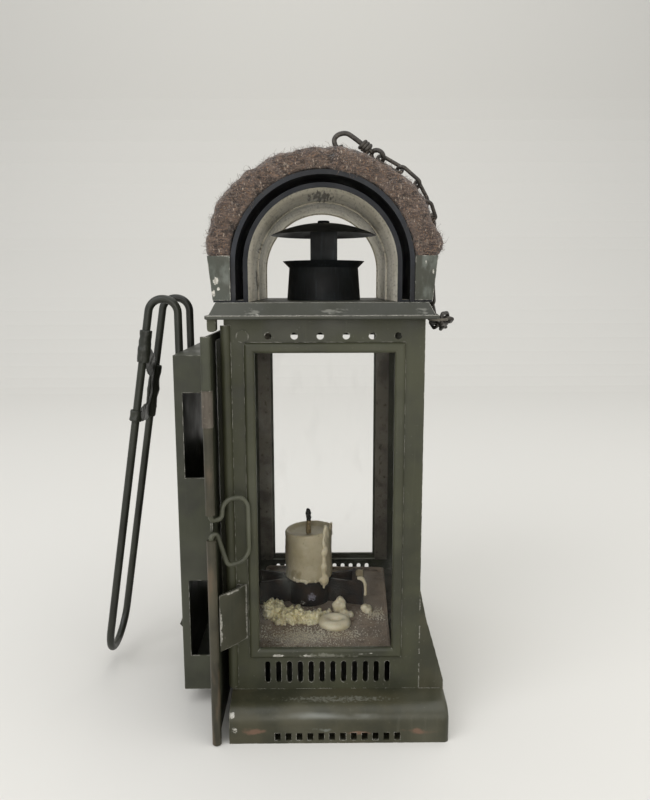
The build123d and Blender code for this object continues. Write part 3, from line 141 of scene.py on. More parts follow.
class Coat:
    """A material while it is being made, one node at a time."""

    def __init__(self, name: str) -> None:
        """Starts an empty material that reads Object coordinates.

        Args:
            name: the material's name.
        """
        self.material = bpy.data.materials.new(name)
        self.material.use_nodes = True
        self.tree = self.material.node_tree
        self.tree.nodes.clear()
        self.place = self.add(Kind.COORDS, {}, "Object")

    def add(self, kind: Kind, inputs: dict, output: int | str = 0, **settings: object) -> Optional[Socket]:
        """Adds one node with its settings, and fills or links its inputs.

        Args:
            kind: which node it is.
            inputs: values or sockets by input name or number.
            output: the output that is handed back.
            **settings: the node's own properties.

        Returns:
            The chosen output socket, or None from a node that has no outputs.
        """
        node = self.tree.nodes.new(kind.value)
        for name, value in settings.items():
            setattr(node, name, value)
        for key, value in inputs.items():
            if isinstance(value, Socket):
                self.tree.links.new(value, node.inputs[key])
            else:
                node.inputs[key].default_value = value
        return node.outputs[output] if node.outputs else None

    def near(self, spots: Sequence[Spot]) -> Socket:
        """Measures how close a point is to any of several places.

        Args:
            spots: the places.

        Returns:
            A value that falls from a place's amount at its middle to 0 at its edge.
        """
        total: Optional[Socket] = None
        for spot in spots:
            moved = self.add(Kind.VECTOR, {0: self.place, 1: tuple(c * MM for c in spot.centre)},
                             operation="SUBTRACT")
            scaled = self.add(Kind.VECTOR, {0: moved, 1: tuple(r * MM for r in spot.reach)},
                              operation="DIVIDE")
            far = self.add(Kind.VECTOR, {0: scaled}, "Value", operation="LENGTH")
            here = self.add(Kind.RANGE, {"Value": far, "From Min": 1.0, "From Max": SPOT_CORE,
                                         "To Max": spot.amount})
            total = here if total is None else self.add(Kind.MATH, {0: total, 1: here}, operation="MAXIMUM")
        return total

    def grain(self, layer: Layer) -> Socket:
        """Makes a layer's mottled pattern, with blotches of its real size.

        Args:
            layer: the layer.

        Returns:
            A value from 0 to 1.
        """
        scaled = self.add(Kind.MAPPING, {"Vector": self.place, "Location": (layer.shift,) * 3,
                                         "Scale": tuple(1 / s for s in layer.stretch)})
        return self.add(Kind.NOISE, {"Vector": scaled, "Scale": 1 / (layer.size * MM),
                                     "Detail": layer.detail}, "Fac")

    def mask(self, layer: Layer) -> Socket:
        """Turns a layer's pattern into a soft-edged mask that keeps to the layer's own places.

        Args:
            layer: the layer.

        Returns:
            A value from 0 to the layer's amount.
        """
        pattern = self.grain(layer)
        if layer.spots:
            pattern = self.add(Kind.MATH, {0: pattern, 1: self.near(layer.spots)}, operation="MULTIPLY")
        return self.add(Kind.RANGE, {"Value": pattern, "From Min": layer.low, "From Max": layer.high,
                                     "To Max": layer.amount}, interpolation_type="SMOOTHSTEP")

    def coats(self, base: str, layers: Sequence[Layer]) -> Union[Socket, Colour]:
        """Lays layers of colour over a base colour.

        Args:
            base: the lowest colour.
            layers: what lies on it, from the lowest up.

        Returns:
            The colour, plain where there are no layers.
        """
        colour: Union[Socket, Colour] = linear(base)
        for layer in layers:
            colour = self.add(Kind.MIX, {0: self.mask(layer), 6: colour, 7: linear(layer.colour)}, 2,
                              data_type="RGBA")
        return colour

    def relief(self, layers: Relief) -> Optional[Socket]:
        """Stacks bumps on the surface.

        Args:
            layers: each bump's pattern and its real height in millimetres.

        Returns:
            The normal.
        """
        normal: Optional[Socket] = None
        for layer, height in layers:
            inputs = {"Height": self.mask(layer), "Distance": height * MM, "Strength": 1.0}
            if normal is not None:
                inputs["Normal"] = normal
            normal = self.add(Kind.BUMP, inputs)
        return normal

    def finish(self, **surface: object) -> bpy.types.Material:
        """Ends the material with its surface shader.

        Args:
            **surface: the shader's inputs, with underscores for spaces.

        Returns:
            The finished material.
        """
        shader = self.add(Kind.SURFACE, {name.replace("_", " "): value for name, value in surface.items()})
        self.add(Kind.OUTPUT, {"Surface": shader})
        return self.material


@dataclass(frozen=True)
class FieldPaint:
    """Satin enamel brushed on sheet steel, old: dull, blotchy, dusty, and rubbed to bare metal in places.

    Attributes:
        name: the material's name.
        paint: the paint's colour.
        faded: the paint where it is greyed by dust and light.
        deep: the paint where it lies thick.
        bare: the steel where the paint is gone.
        bright: the steel where it is rubbed bright.
        roughness: at its lowest.
        uneven: how much rougher it is in patches.
        metallic: how metallic the dulled steel looks.
        specular: how strongly the paint mirrors.
        edge_wear: how far edges are rubbed through, or 0 for wire and rolls that have none.
        speck: how much the specks of bare metal show.
        worn: the places where the paint has come off.
        layers: dust, scuffs and rust on top, and on the base a painted highlight.
        edge_radius: how far rubbing reaches in from an edge, in millimetres.
        edge_turn: how far the softened and the flat normal agree where wear begins and where it is full.
        chips: the rubbed patches along the edges.
        flakes: the paint's broken outline in a worn place.
        bumps: hollows in the sheet, brush marks and the paint's grain.
    """

    name: str
    paint: str = "#383928"
    faded: str = "#454636"
    deep: str = "#2b2c20"
    bare: str = "#8d8b83"
    bright: str = "#b7b5ac"
    roughness: float = 0.36
    uneven: float = 0.26
    metallic: float = 0.5
    specular: float = 0.34
    edge_wear: float = 0.8
    speck: float = 0.25
    worn: tuple[Spot, ...] = ()
    layers: tuple[Layer, ...] = ()
    edge_radius: float = 0.6
    edge_turn: tuple[float, float] = (0.985, 0.86)
    chips: Layer = Layer("", 2.4, 0.36, 0.46, detail=5, shift=6.0)
    flakes: Layer = Layer("", 1.3, 0.3, 0.38, 1.0, 6, (1.5, 1, 1), 3.0)
    bumps: Relief = ((Layer("", 45, 0, 1, 1, 3, shift=4.0), 1.4), (Layer("", 12, 0, 1, 1, 4), 0.22),
                     (Layer("", 0.5, 0, 1, 1, 2), 0.008))

    def make(self) -> bpy.types.Material:
        """Builds the paint over bright steel, with the wear along its edges and in its worn places.

        Returns:
            The material.
        """
        coat = Coat(self.name)
        # Thick patches, faded clouds, upright brush streaks 1.6 mm apart and specks of bare metal.
        paint = coat.coats(self.paint, (
            Layer(self.deep, 16, 0.62, 0.36, 0.9, 5), Layer(self.faded, 45, 0.45, 0.7, 0.7, 3, shift=4.0),
            Layer(self.faded, 1.6, 0.56, 0.85, 0.4, 4, (1, 1, 16), 2.0),
            Layer(self.bare, 0.8, 0.7, 0.78, self.speck, 2, shift=9.0), *self.layers))
        soft_normal = coat.add(Kind.BEVEL, {"Radius": self.edge_radius * MM}, samples=4)
        flat_normal = coat.add(Kind.GEOMETRY, {}, "Normal")
        same = coat.add(Kind.VECTOR, {0: soft_normal, 1: flat_normal}, "Value", operation="DOT_PRODUCT")
        begins, full = self.edge_turn
        edge = coat.add(Kind.RANGE, {"Value": same, "From Min": begins, "From Max": full,
                                     "To Max": self.edge_wear})
        rubbed = coat.add(Kind.MATH, {0: edge, 1: coat.grain(self.chips)}, operation="MULTIPLY")
        wear = coat.add(Kind.RANGE, {"Value": rubbed, "From Min": self.chips.low,
                                     "From Max": self.chips.high}, interpolation_type="SMOOTHSTEP")
        if self.worn:
            flaked = coat.mask(replace(self.flakes, spots=self.worn))
            wear = coat.add(Kind.MATH, {0: wear, 1: flaked}, operation="MAXIMUM")
        metal = coat.coats(self.bare, (Layer(self.bright, 0.9, 0.4, 0.65, 1.0, 3),))
        return coat.finish(
            Base_Color=coat.add(Kind.MIX, {0: wear, 6: paint, 7: metal}, 2, data_type="RGBA"),
            Metallic=coat.add(Kind.MATH, {0: wear, 1: self.metallic}, operation="MULTIPLY"),
            Specular_IOR_Level=self.specular,
            Roughness=coat.add(Kind.MATH, {0: coat.mask(Layer("", 16, 0.2, 0.8, self.uneven, 5)),
                                           1: self.roughness}, operation="ADD"),
            Normal=coat.relief(self.bumps))


@dataclass(frozen=True)
class PlainCoat:
    """A surface of mottled colour and relief: stove enamel, tinned or bare sheet, iron scale or wick.

    Attributes:
        name: the material's name.
        base: its colour.
        layers: what mottles it.
        bumps: its relief.
        surface: the shader's plain values, by name.
        rough: its lowest roughness and how much rougher its patches are.
        patch: the size of those patches in millimetres.
    """

    name: str
    base: str
    layers: tuple[Layer, ...]
    bumps: Relief
    surface: tuple[tuple[str, float], ...]
    rough: tuple[float, float] = (0.5, 0.2)
    patch: float = 9.0

    def make(self) -> bpy.types.Material:
        """Builds the colour, the relief and a roughness that varies in patches.

        Returns:
            The material.
        """
        coat = Coat(self.name)
        smoothest, rougher = self.rough
        return coat.finish(
            Base_Color=coat.coats(self.base, self.layers),
            Roughness=coat.add(Kind.MATH, {0: coat.mask(Layer("", self.patch, 0.25, 0.75, rougher, 5)),
                                           1: smoothest}, operation="ADD"),
            Normal=coat.relief(self.bumps), **dict(self.surface))


@dataclass(frozen=True)
class CandleWax:
    """Paraffin and stearin, poured or run: soft ivory that light enters.

    Attributes:
        name: the material's name.
        wax: its colour.
        warm: its colour where it is thick or aged.
        layers: soot and dirt on it.
        bumps: its relief.
        scatter: how much of the light goes through it.
        roughness: how matt it is.
        depth: how far light spreads inside it, in millimetres.
    """

    name: str
    wax: str
    warm: str
    layers: tuple[Layer, ...] = ()
    bumps: Relief = ((Layer("", 7, 0, 1), 0.15), (Layer("", 3, 0, 1, 1, 3), 0.08))
    scatter: float = 0.25
    roughness: float = 0.4
    depth: float = 3.0

    def make(self) -> bpy.types.Material:
        """Builds the wax, in which red light goes furthest and blue least.

        Returns:
            The material.
        """
        coat = Coat(self.name)
        return coat.finish(
            Base_Color=coat.coats(self.wax, (Layer(self.warm, 9, 0.4, 0.7, 0.8), *self.layers)),
            Subsurface_Weight=self.scatter, Subsurface_Scale=self.depth * MM,
            Subsurface_Radius=(1.0, 0.8, 0.5), Roughness=self.roughness, IOR=1.44,
            Normal=coat.relief(self.bumps))


@dataclass(frozen=True)
class WoolFelt:
    """Pressed wool felt of mixed undyed hair: dark, fox-brown and pale fibres, matt, with a soft sheen.

    Attributes:
        name: the material's name.
        base: its darkest common colour.
        layers: fibres in three directions, drawn 0.5 mm thick where real ones are 0.03 mm, so that they show.
        bumps: tufts of 2.6 mm and the fibres on them.
    """

    name: str
    base: str = "#352b26"
    layers: tuple[Layer, ...] = (
        Layer("#5b4e46", 9, 0.35, 0.65, 0.8), Layer("#6a5a4f", 0.55, 0.46, 0.62, 0.9, 4, (5, 1.2, 1.2)),
        Layer("#7a5f49", 0.5, 0.54, 0.66, 0.9, 4, (1.2, 5, 1.4), 3.0),
        Layer("#a99b8b", 0.42, 0.6, 0.7, 0.9, 3, (1.6, 1.2, 5), 5.0),
        Layer("#241d19", 2.4, 0.52, 0.68, 0.9, 5, shift=8.0))
    bumps: Relief = ((Layer("", 2.6, 0.2, 0.8), 0.6), (Layer("", 0.55, 0.3, 0.7, 1, 4, (3, 1, 1)), 0.25))

    def make(self) -> bpy.types.Material:
        """Builds the felt, matt with the faint sheen of fibre ends.

        Returns:
            The material.
        """
        coat = Coat(self.name)
        return coat.finish(Base_Color=coat.coats(self.base, self.layers), Roughness=0.95, Sheen_Weight=0.2,
                           Sheen_Roughness=0.5, Normal=coat.relief(self.bumps))


@dataclass(frozen=True)
class WindowGlass:
    """Thin drawn sheet glass, nearly clear, with fingermarks and specks low on the left.

    Attributes:
        name: the material's name.
        tint: the glass's colour.
        gloss: how strongly its surface mirrors at a slant.
        smears: what dims it.
    """

    name: str = "window_glass"
    tint: str = "#cfd2c8"
    gloss: float = 0.12
    smears: tuple[Layer, ...] = (
        Layer("", 9, 0.5, 0.85, 0.05, 6, (1, 1, 2.2)),
        Layer("", 1.1, 0.5, 0.62, 0.4, 4, (1, 1, 1.6), 5.0,
              (Spot((-26, -56, 70), (11, 8, 48)), Spot((-12, -56, 40), (20, 8, 8), 0.9))))

    def make(self) -> bpy.types.Material:
        """Builds the glass as a clear sheet whose gloss and smears are all that shows.

        Returns:
            The material.
        """
        coat = Coat(self.name)
        seen = coat.add(Kind.FACING, {"Blend": self.gloss}, "Fresnel")
        for smear in self.smears:
            seen = coat.add(Kind.MATH, {0: seen, 1: coat.mask(smear)}, operation="ADD", use_clamp=True)
        return coat.finish(Base_Color=linear(self.tint), Roughness=0.06, Alpha=seen, IOR=1.5)


def adopt(mesh: bpy.types.Mesh, name: str, material: bpy.types.Material, body: str,
          replaced: Sequence[str] = (), smooth: bool = True) -> bpy.types.Object:
    """Makes a finished mesh a piece of the lantern.

    Args:
        mesh: the piece's mesh, in metres in the row frame.
        name: the piece's name.
        material: its finish.
        body: the CAD body that it rides on.
        replaced: CAD nodes that it stands for.
        smooth: whether its faces are shaded smooth.

    Returns:
        The piece.
    """
    mesh.name = name
    mesh.materials.clear()
    mesh.materials.append(material)
    mesh.polygons.foreach_set("use_smooth", [smooth] * len(mesh.polygons))
    piece = bpy.data.objects.new(name, mesh)
    bpy.context.scene.collection.objects.link(piece)
    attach(piece, body)
    if replaced:
        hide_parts(*replaced)
    log.info("%s: %d faces on %s", name, len(mesh.polygons), body)
    return piece


def settled(data: Union[bpy.types.Mesh, bpy.types.Curve],
            modifiers: Sequence[tuple[str, dict]] = ()) -> bpy.types.Mesh:
    """Makes a mesh of a curve or of another mesh, with modifiers applied.

    Args:
        data: the mesh or curve to start from.
        modifiers: each modifier's type with its settings.

    Returns:
        A new mesh.
    """
    holder = bpy.data.objects.new("work", data)
    bpy.context.scene.collection.objects.link(holder)
    for kind, settings in modifiers:
        modifier = holder.modifiers.new(kind.lower(), kind)
        for name, value in settings.items():
            setattr(modifier, name, value)
    graph = bpy.context.evaluated_depsgraph_get()
    made = bpy.data.meshes.new_from_object(holder.evaluated_get(graph))
    bpy.data.objects.remove(holder)
    return made


def fused(mesh: bpy.types.Mesh, voxel: float, rounds: int = 2) -> bpy.types.Mesh:
    """Melts overlapping solids into one smoothed skin of quads, each a voxel wide in millimetres."""
    return settled(mesh, [("REMESH", {"mode": "VOXEL", "voxel_size": voxel * MM}),
                          ("SMOOTH", {"factor": 0.5, "iterations": rounds})])


def roughened(mesh: bpy.types.Mesh, layers: Sequence[tuple[float, float]], seed: float = 0.0,
              share: Optional[Callable[[Vector], float]] = None) -> bpy.types.Mesh:
    """Moves a mesh's vertices along their normals by layers of noise.

    Args:
        mesh: the mesh, changed in place.
        layers: the size of each layer's bumps and their height, in millimetres.
        seed: shifts the noise.
        share: how much of the move a vertex takes, by its place.

    Returns:
        The same mesh.
    """
    shift = Vector((seed, seed * 0.7, -seed))
    moves = []
    for vertex in mesh.vertices:
        amount = sum(height * MM * noise.noise(vertex.co / (size * MM) + shift) for size, height in layers)
        moves.append(vertex.normal * amount * (1.0 if share is None else share(vertex.co)))
    for vertex, move in zip(mesh.vertices, moves):
        vertex.co += move
    mesh.update()
    return mesh


def poured(solid: bmesh.types.BMesh, name: str) -> bpy.types.Mesh:
    """Ends a bmesh as a new mesh.

    Args:
        solid: the bmesh, which is freed.
        name: the mesh's name while it is worked on.

    Returns:
        The mesh.
    """
    mesh = bpy.data.meshes.new(name)
    solid.to_mesh(mesh)
    solid.free()
    return mesh


def welded(mesh: bpy.types.Mesh, reach: float, turned_out: bool) -> bpy.types.Mesh:
    """Merges a mesh's doubled vertices.

    Args:
        mesh: the mesh, changed in place.
        reach: how close two vertices are that count as one, in millimetres.
        turned_out: whether its faces are turned outwards too.

    Returns:
        The same mesh.
    """
    solid = bmesh.new()
    solid.from_mesh(mesh)
    bmesh.ops.remove_doubles(solid, verts=solid.verts, dist=reach * MM)
    if turned_out:
        bmesh.ops.recalc_face_normals(solid, faces=solid.faces)
    solid.to_mesh(mesh)
    solid.free()
    return mesh


def node_copy(node: str) -> bpy.types.Mesh:
    """Returns a copy of a CAD node's mesh with its loose triangles merged."""
    return welded(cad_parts[node].data.copy(), CAD_WELD, turned_out=False)


def wire(points: Sequence[Point], radius: float, swell: Optional[Sequence[float]] = None, rings: int = 12,
         sides: int = 3) -> bpy.types.Mesh:
    """Draws a round wire along a smooth line.

    Args:
        points: the line's control points in millimetres.
        radius: the wire's radius in millimetres.
        swell: how much thicker the wire is at each point.
        rings: rings between two points.
        sides: how round the wire is.

    Returns:
        The wire's closed mesh.
    """
    line = bpy.data.curves.new("line", "CURVE")
    line.dimensions = "3D"
    line.bevel_depth = radius * MM
    line.bevel_resolution = sides
    line.use_fill_caps = True
    line.resolution_u = rings
    spline = line.splines.new("NURBS")
    spline.points.add(len(points) - 1)
    for index, point in enumerate(points):
        spline.points[index].co = (*(c * MM for c in point), 1.0)
        spline.points[index].radius = 1.0 if swell is None else swell[index]
    spline.order_u = 3
    spline.use_endpoint_u = True
    return welded(settled(line), FINE_WELD, turned_out=True)


def joined(meshes: Sequence[bpy.types.Mesh]) -> bpy.types.Mesh:
    """Puts several meshes into one.

    Args:
        meshes: the meshes, which stay as they are.

    Returns:
        A new mesh that holds them all.
    """
    solid = bmesh.new()
    for mesh in meshes:
        solid.from_mesh(mesh)
    return poured(solid, "joined")


class Finish(Enum):
    """Every finish on the lantern, each after what the real one is."""

    # Brushed enamel on sheet steel: dull olive, with bright scratches and pale scuffs on the window's sill.
    SHELL = FieldPaint(
        "worn_field_paint", worn=(
            Spot((-20, -56.5, 32.2), (6, 3, 1.6)), Spot((-8, -56.5, 32.0), (5, 3, 1.4), 0.9),
            Spot((16, -56.5, 33), (16, 3, 1.2), 0.75), Spot((34, -55, 10.5), (2, 8, 1.6)),
            Spot((-36, -55, 66), (1.5, 3, 4), 0.8), Spot((20, -55, 167.5), (12, 2, 4), 0.7)),
        layers=(Layer("#67675c", 1.4, 0.36, 0.5, 0.8, 5, spots=(
            Spot((0, -56, 31.6), (34, 4, 4)), Spot((0, -55, 12.5), (44, 4, 4)),
            Spot((34, -55, 60), (4, 3, 60), 0.7))),))
    # The same enamel on the base: browner, dusty along its top edge, with a painted highlight as a grey band
    # along its curve, and rusty along its lower edge.
    BASE = FieldPaint(
        "worn_base_paint", paint="#3c3a2a", faded="#4e4d40", roughness=0.28, worn=(
            Spot((52.5, -60, 9), (1.6, 8, 6)), Spot((-39, -66, 12), (3, 8, 2.4)),
            Spot((-38, -68, 6), (3, 6, 3), 0.8)),
        layers=(Layer("#67675d", 1.0, 0.36, 0.56, 0.75, 5, spots=(Spot((5, -60.5, 15), (60, 5, 2.6)),)),
                # A grey band stretched along the curve of the base: a painted highlight, not dust.
                Layer("#7d7f79", 9, 0.3, 0.6, 0.7, 3, (3, 1, 1), spots=(Spot((5, -66, 11.5), (60, 6, 3.4)),)),
                Layer("#6c5242", 5, 0.36, 0.5, 0.75, 5, (1.6, 1, 1), spots=(
                    Spot((38, -69, 5.5), (16, 6, 4.5)), Spot((-30, -69, 5.5), (13, 6, 4.5)),
                    Spot((14, -69, 4.5), (20, 5, 2.4), 0.8))),
                Layer("#777b75", 3, 0.36, 0.5, 0.5, 4, spots=(Spot((-2, -69, 6), (10, 6, 2.4)),))))
    # The same enamel on the lid, darkened by heat: its hemmed eave is rubbed through to the steel.
    LID = FieldPaint(
        "rubbed_lid_paint", paint="#34352e", faded="#44453d", edge_wear=1.12, worn=(
            Spot((-27, -60.5, 177), (5, 3, 2.2)), Spot((4, -60.5, 177), (13, 3, 1.8)),
            Spot((36, -60.5, 177), (4, 3, 2.2), 0.8)),
        layers=(Layer("#6b6b63", 1.1, 0.34, 0.5, 0.8, 5, (2.4, 1, 1), spots=(
            Spot((-28, -60, 178), (10, 5, 4)), Spot((4, -60, 178), (20, 5, 3.6)),
            Spot((38, -60, 178), (6, 6, 4)))),
                Layer("#6a6b65", 6, 0.32, 0.6, 0.7, 4, spots=(Spot((0, -40, 181), (60, 26, 2)),))))
    # Enamelled strips that hold the felt: grey-green, clouded and glossier, with chipped front corners.
    CLAMPS = FieldPaint(
        "rubbed_clamp_paint", paint="#363a31", faded="#474b43", roughness=0.28, worn=(
            Spot((-42.6, -54.4, 189.5), (2.2, 2, 3.4)), Spot((-43.6, -54.4, 184.6), (1.6, 2, 3)),
            Spot((-41.6, -54.4, 186.5), (1.4, 2, 1.6)), Spot((39.6, -54.4, 196.5), (1.2, 2, 1.8), 0.8),
            Spot((42.6, -54.4, 193), (1.2, 2, 2.4), 0.9)),
        layers=(Layer("#6b7069", 4, 0.42, 0.7, 0.6, 4, (1, 1, 2)),))
    # The door's enamel: even olive with few specks, as less rubs against it.
    DOOR = FieldPaint("worn_door_paint", paint="#383a2c", faded="#45463a", deep="#2b2c23", speck=0.15)
    # Enamel on the door's rolled edge, brown from handling: long upright stains and no chipped edges.
    ROLL = FieldPaint("rubbed_roll_paint", paint="#3b382b", faded="#4d4839", deep="#28261c", edge_wear=0.0,
                      layers=(Layer("#574a3a", 5, 0.5, 0.7, 0.7, 5, (1, 1, 4)),))
    # Enamel on the bent lug that the door strikes: a line of bare steel along its outer edge.
    LUG = FieldPaint("worn_lug_paint", paint="#38372a", faded="#434234", edge_wear=0.96, worn=(
        Spot((-42.6, -65.5, 50), (1.4, 3, 12)), Spot((-38, -61, 63.4), (8, 8, 1.0))))
    # Blackish paint on spring-steel wire: smooth and half glossy, chipped to dull grey specks.
    HOOK = FieldPaint("chipped_hook_paint", paint="#282a23", faded="#34362d", deep="#1d1e19", bare="#6d6a62",
                      roughness=0.26, edge_wear=0.0, speck=0.3)
    # Paint on the latch wire, polished by fingers: paler than the door's, and glossier.
    LATCH = FieldPaint("rubbed_latch_paint", paint="#474839", faded="#5c5d50", deep="#33342a", roughness=0.22,
                       edge_wear=0.0, speck=0.15)
    # Baked stove enamel on the chimney: a flat black with faint upright streaks.
    BLACK = PlainCoat("stove_black_enamel", "#141617",
                      (Layer("#1f2325", 14, 0.4, 0.7), Layer("#2c3236", 1.1, 0.5, 0.85, 0.7, 3, (1, 1, 16))),
                      ((Layer("", 14, 0, 1), 0.4), (Layer("", 1.1, 0, 1, 1, 3, (1, 1, 16)), 0.03)),
                      (("Specular_IOR_Level", 0.2),), (0.45, 0.2))
    # Blued sheet steel, rolled: blue-black, brushed along its length and paler at its cut front edge.
    VAULT = PlainCoat("blued_sheet", "#0b0e13",
                      (Layer("#141921", 12, 0.4, 0.75), Layer("#30363c", 1.1, 0.6, 0.8, 0.5, 3, (1, 5, 1)),
                       Layer("#3a3f44", 2.4, 0.25, 0.55, 0.4, 4, spots=(
                           Spot((0, -54.6, 200), (90, 2.4, 90)),))),
                      ((Layer("", 12, 0, 1), 0.5), (Layer("", 1.1, 0, 1), 0.02)),
                      (("Specular_IOR_Level", 0.4),), (0.45, 0.2))
    # Tinned sheet yellowed by heat: cream, streaked along its length, with soot over the chimney, and painted
    # shade in near-black along its front edge.
    LINING = PlainCoat("aged_tinned_lining", "#e2dccb",
                       (Layer("#c8c2b0", 12, 0.4, 0.68), Layer("#efeadb", 5, 0.56, 0.75, 0.7),
                        Layer("#7a7362", 1.0, 0.5, 0.75, 0.5, 4, (1, 9, 1), 5.0),
                        Layer("#4d463a", 1.1, 0.34, 0.5, 0.85, 4, (1, 12, 1), 2.0, (
                            Spot((-0.7, -20, 226), (15, 50, 7)), Spot((-30, 0, 205), (5, 40, 14), 0.8))),
                        Layer("#3f392f", 2.6, 0.32, 0.52, 0.9, 5, (1, 1, 2), 1.0, (
                            Spot((-0.7, 6, 205), (60, 6, 60), 0.85), Spot((-30, -6, 190), (6, 16, 12)),
                            Spot((29, 2, 200), (6, 12, 16), 0.9))),
                        # Near-black along the front edge: a painted shade.
                        Layer("#0d1015", 2, 0.04, 0.1, 1.0, 3, spots=(
                            Spot((0, -54.4, 200), (90, 3.1, 90)),))),
                       ((Layer("", 14, 0, 1), 0.6), (Layer("", 1.0, 0, 1, 1, 4, (1, 7, 1)), 0.03)),
                       (("Metallic", 0.1), ("Specular_IOR_Level", 0.35)), (0.5, 0.2))
    # Tinplate gone dull: warm grey with darker tarnish, half metallic.
    TIN = PlainCoat("dull_tin", "#6c675c", (Layer("#56514a", 8), Layer("#3f392f", 2.2, 0.56, 0.75)),
                    ((Layer("", 8, 0, 1), 0.2),), (("Metallic", 0.5),), (0.4, 0.2))
    # Bare steel rubbed by the hand: grey-brown, with paler polished spots.
    SLEEVE = PlainCoat("rubbed_sleeve", "#615b51",
                       (Layer("#4d463d", 3, 0.4, 0.65, 0.9, 5, (1, 1, 3)),
                        Layer("#857c70", 1.2, 0.6, 0.75, 0.7)),
                       ((Layer("", 3, 0, 1), 0.1),), (("Metallic", 0.4),), (0.45, 0.2))
    # Sheet iron under soot and fire scale: brown-black, with pale scale on the cup and wax on an arm's tip.
    IRON = PlainCoat("sooty_holder_iron", "#1d1a19",
                     (Layer("#352820", 6, 0.42, 0.68, 1, 6), Layer("#4b423b", 0.7, 0.6, 0.74, 0.6),
                      Layer("#b9b7ae", 0.9, 0.36, 0.46, 0.9, 5, spots=(Spot((-12, -3.5, 31), (6, 4, 3.4)),)),
                      Layer("#a09dac", 0.6, 0.34, 0.44, 0.7, 5, spots=(Spot((-6, -3.5, 34), (7, 4, 5)),)),
                      Layer("#8d8268", 2, 0.16, 0.3, 0.9, 4, spots=(Spot((19.6, -0.8, 46), (6, 7, 5.5)),))),
                     ((Layer("", 4, 0, 1), 0.3), (Layer("", 0.9, 0, 1), 0.1)), (("Metallic", 0.2),),
                     (0.5, 0.25))
    # Pressed steel under a film of rust: matt grey-brown, with crumbled wax trodden into it.
    TRAY = PlainCoat("rusty_tray_steel", "#8b7d6f",
                     (Layer("#a08f7d", 9, 0.4, 0.66, 1, 6),
                      Layer("#6b5a4d", 4, 0.55, 0.72, 0.8, 6, shift=3.0),
                      Layer("#b9b1a3", 1.4, 0.3, 0.6, 0.85, 6, spots=(Spot((-12, -36, 29), (34, 18, 4)),)),
                      Layer("#bdb6a4", 0.9, 0.44, 0.54, 0.85, 4, spots=(
                          Spot((-8, -34, 29), (28, 16, 4)), Spot((24, -10, 29), (10, 9, 4)))),
                      Layer("#d8d2bf", 0.5, 0.6, 0.68, 0.7, 3)),
                     ((Layer("", 6, 0, 1), 0.3), (Layer("", 0.9, 0, 1), 0.15)), (("Metallic", 0.1),),
                     (0.6, 0.2))
    # Drawn steel wire, oiled: dark and half glossy, with pale specks where links rub.
    CHAIN = PlainCoat("oiled_chain_wire", "#3a3733",
                      (Layer("#4c4842", 3), Layer("#7b766d", 0.6, 0.58, 0.72, 0.6)),
                      ((Layer("", 1.5, 0, 1), 0.04),), (("Metallic", 0.6),), (0.36, 0.2))
    # Stearin of the stub, poured and aged: ivory, soft at its edges, browner with soot near its foot.
    CANDLE = CandleWax("ivory_candle_wax", "#c1b79a", "#aea283", (
        Layer("#8a7a58", 3, 0.4, 0.6, 0.6, 5, (1, 1, 2), spots=(
            Spot((-15, -2, 46), (12, 9, 9)), Spot((0, 0, 45), (9, 12, 8), 0.8))),
        Layer("#5f4f36", 0.9, 0.68, 0.74, 0.8, 2, shift=7.0)))
    # The same wax run and set: paler and glossier, and light goes further into it.
    DRIP = CandleWax("fresh_wax_run", "#ddd2b6", "#ccbf9c", scatter=0.3, roughness=0.3)
    # Wax crumbled by knocks: pale and rough, with yellow dirt in its hollows and white broken edges.
    SPILL = CandleWax("spilt_wax", "#ece4bd", "#dccf99",
                      (Layer("#a79768", 3.4, 0.56, 0.75, 0.7, 5, shift=4.0),
                       Layer("#fbf6e4", 0.6, 0.54, 0.64, 0.9, 4)),
                      ((Layer("", 1.6, 0.2, 0.8, 1, 5), 0.35),), 0.15, 0.6)
    # Wax set undisturbed: an even cream with a soft gloss.
    RING = CandleWax("smooth_wax_ring", "#e6ddc0", "#d2c7a4", bumps=((Layer("", 5, 0, 1), 0.15),),
                     roughness=0.35)
    # Loose crumbs of wax: pale and matt, too small for light to spread in them.
    CRUMBS = CandleWax("wax_crumbs", "#e4dec9", "#cfc6a8", scatter=0.1, roughness=0.6)
    # Charred cotton: brown-black and quite matt.
    CHAR = PlainCoat("charred_wick", "#12100f", (Layer("#2a241f", 0.8),), ((Layer("", 0.8, 0, 1), 0.2),), (),
                     (0.85, 0.1))
    # Plaited cotton soaked in wax: tan, darker between its threads of 0.8 mm.
    CORD = PlainCoat("waxed_wick", "#8b7a57", (Layer("#5d4c33", 1.0),), ((Layer("", 0.8, 0, 1), 0.1),), (),
                     (0.5, 0.1))
    # Wool pressed into felt: dull brown, flecked with fox-brown and pale fibres.
    FELT = WoolFelt("brown_wool_felt")
    # Loose hair of the same wool: lighter than the felt, because light passes through single fibres.
    HAIR = WoolFelt("loose_wool_hair", base="#4b3f37", layers=(
        Layer("#6f6054", 1.4, 0.42, 0.58), Layer("#9a8c7d", 1.0, 0.58, 0.68, 0.9, 2, shift=3.0),
        Layer("#7c5f45", 1.1, 0.58, 0.68, 0.8, 2, shift=6.0)))
    # Drawn window glass: seen only by its gloss, its fingermarks and the specks at its lower left.
    GLASS = WindowGlass()


@dataclass
class Workshop:
    """Makes each finish once and hands it out.

    Attributes:
        made: the materials that are ready.
    """

    made: dict[Finish, bpy.types.Material] = field(default_factory=dict)

    def coat(self, finish: Finish) -> bpy.types.Material:
        """Hands out the material of a finish, made on its first use.

        Args:
            finish: the finish.

        Returns:
            Its material.
        """
        if finish not in self.made:
            self.made[finish] = finish.value.make()
        return self.made[finish]

    def dress(self, finish: Finish, *nodes: str) -> None:
        """Gives CAD nodes a finish.

        Args:
            finish: the finish.
            *nodes: the CAD nodes' names.
        """
        for name in nodes:
            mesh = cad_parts[name].data
            mesh.materials.clear()
            mesh.materials.append(self.coat(finish))


